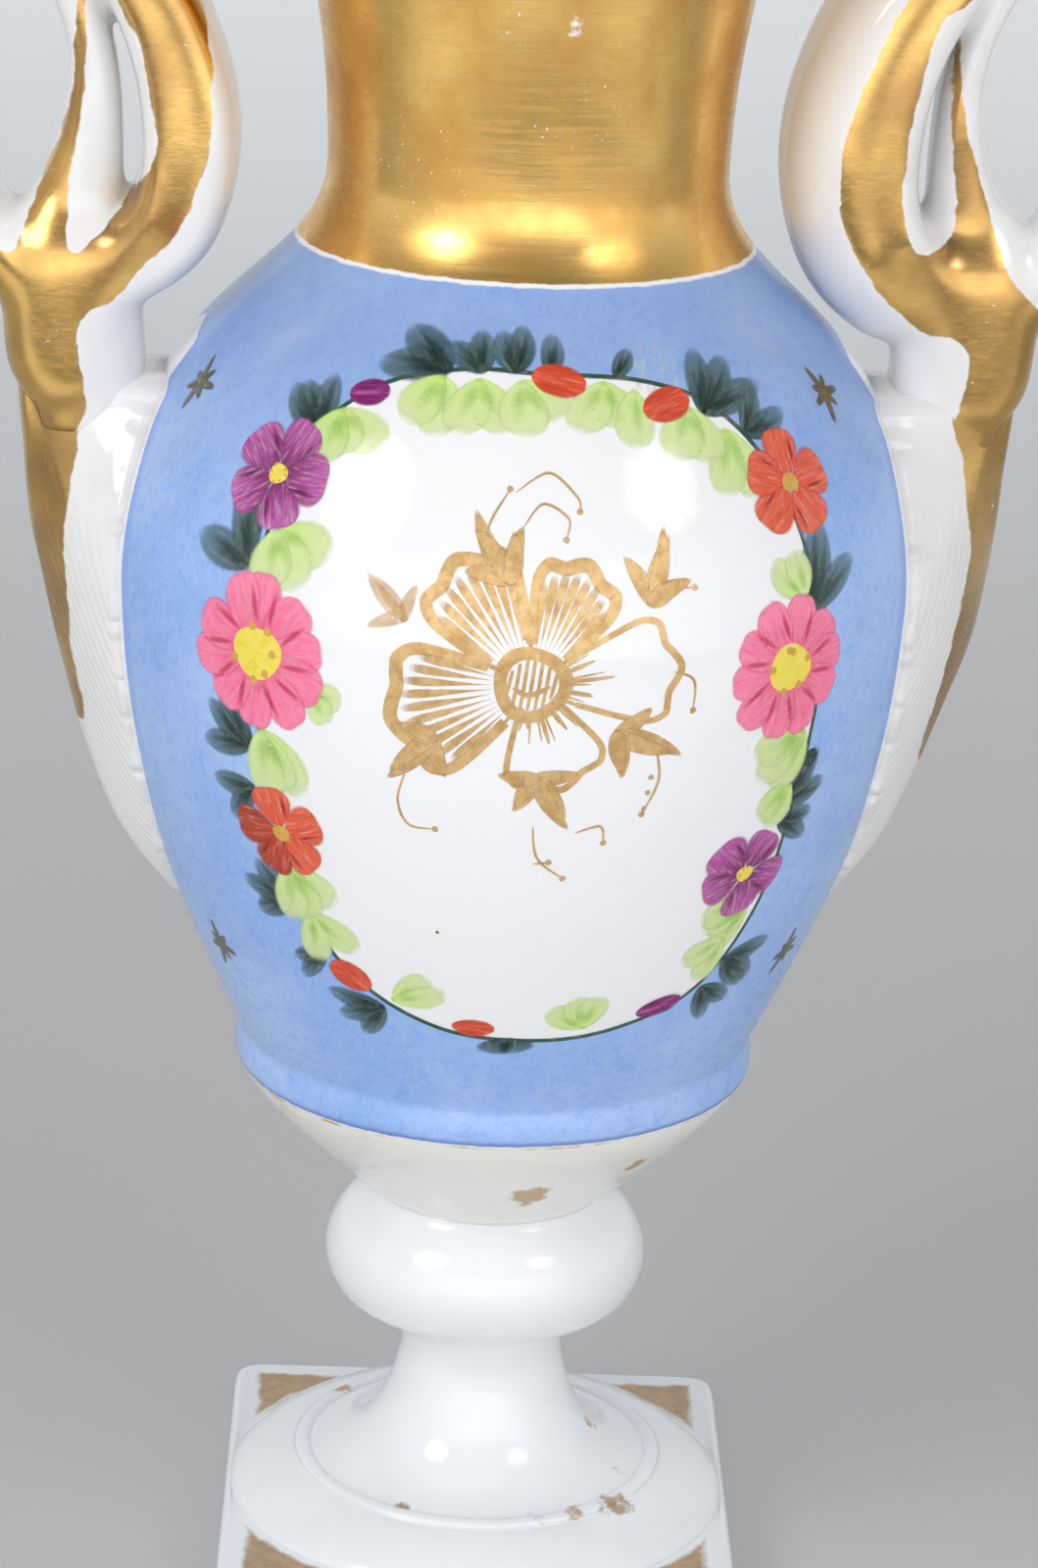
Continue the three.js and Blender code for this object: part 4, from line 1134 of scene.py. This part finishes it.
def frontCard():
    # a wide white card low behind the camera, bent round the object, dimmer to its ends as 1 - 0.6 a^2
    w = studio
    a = np.radians(np.linspace(-w["cardHalfAngle"], w["cardHalfAngle"], 25))[None, :]
    z = np.linspace(w["cardLow"], w["cardHigh"], 3)[:, None]
    far = w["cardDistance"]
    glow = 1 - 0.6 * (a / 1.08) ** 2 + 0 * z
    shining("front_card", gridOf(far * np.sin(a), -far * np.cos(a), z), glow, w["cardPower"])


def makeSky():
    # the sky is brightest at the horizon and falls off towards straight overhead
    world = bpy.data.worlds.new("even sky")
    world.use_nodes = True
    tree = world.node_tree
    background = tree.nodes["Background"].inputs
    background["Color"].default_value = studio["skyTint"]
    apart = tree.nodes.new("ShaderNodeSeparateXYZ")
    fall = tree.nodes.new("ShaderNodeMapRange")
    for key, value in ((1, 0.0), (2, 0.9), (3, studio["sky"]), (4, studio["zenith"])):
        fall.inputs[key].default_value = value
    tree.links.new(tree.nodes.new("ShaderNodeTexCoord").outputs["Generated"], apart.inputs[0])
    tree.links.new(apart.outputs["Z"], fall.inputs[0])
    tree.links.new(fall.outputs[0], background["Strength"])
    bpy.context.scene.world = world


# the view is a fit of the outline to the photo's edges: metres and degrees, and the lens in millimetres
camera = dict(distance=0.725, target=0.12955, aside=0.00241,
              pitch=18.23, azimuth=-4.5, roll=2.39, lens=107.66)


def makeCamera():
    c = camera
    a, e = math.radians(c["azimuth"]), math.radians(c["pitch"])
    forward = Vector((-math.sin(a) * math.cos(e), math.cos(a) * math.cos(e), -math.sin(e)))
    right = Vector((math.cos(a), math.sin(a), 0))
    up = right.cross(forward)
    lens = bpy.data.cameras.new("camera")
    lens.sensor_fit, lens.sensor_width, lens.sensor_height, lens.lens = "AUTO", 36.0, 36.0, c["lens"]
    lens.clip_start, lens.clip_end = 0.05, 50.0
    made = bpy.data.objects.new("camera", lens)
    turn = Matrix((right, up, -forward)).transposed() @ Matrix.Rotation(math.radians(c["roll"]), 3, "Z")
    place = Vector((0, 0, c["target"])) - forward * c["distance"] + right * c["aside"]
    made.matrix_world = Matrix.Translation(place) @ turn.to_4x4()
    bpy.context.scene.collection.objects.link(made)
    bpy.context.scene.camera = made


print("jar")
bodyPiece = makeBody(bodyFinish())
print("handles and leaves")
handlePaint = handleFinish()
handles = [makeHandle(side, handlePaint) for side in ("right", "left")]
leaves = [makeLeaf(side, handlePaint) for side in ("right", "left")]
print("foot")
footPiece = makeFoot(footFinish())
print("painting")
garland = paintGarland().make("garland", enamelFinish())
goldStrokes = Strokes()
paintGold(goldStrokes, (-1.2, 164.8), False)
paintGold(goldStrokes, (180, 160), True)
goldFlower = goldStrokes.make("gold_flower", giltLineFinish())

vasePieces = [bodyPiece, garland, goldFlower] + handles + leaves
for piece in vasePieces:
    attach(piece, "root")
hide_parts("vase_body")
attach(footPiece, "root")
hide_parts("pedestal_foot")

print("studio")
makeSweep()
for lamp in studio["lamps"]:
    softBox(*lamp)
frontCard()
makeSky()
makeCamera()
bpy.context.scene.view_settings.view_transform = "Standard"

print("pieces:", [(p.name, len(p.data.polygons)) for p in vasePieces + [footPiece]])
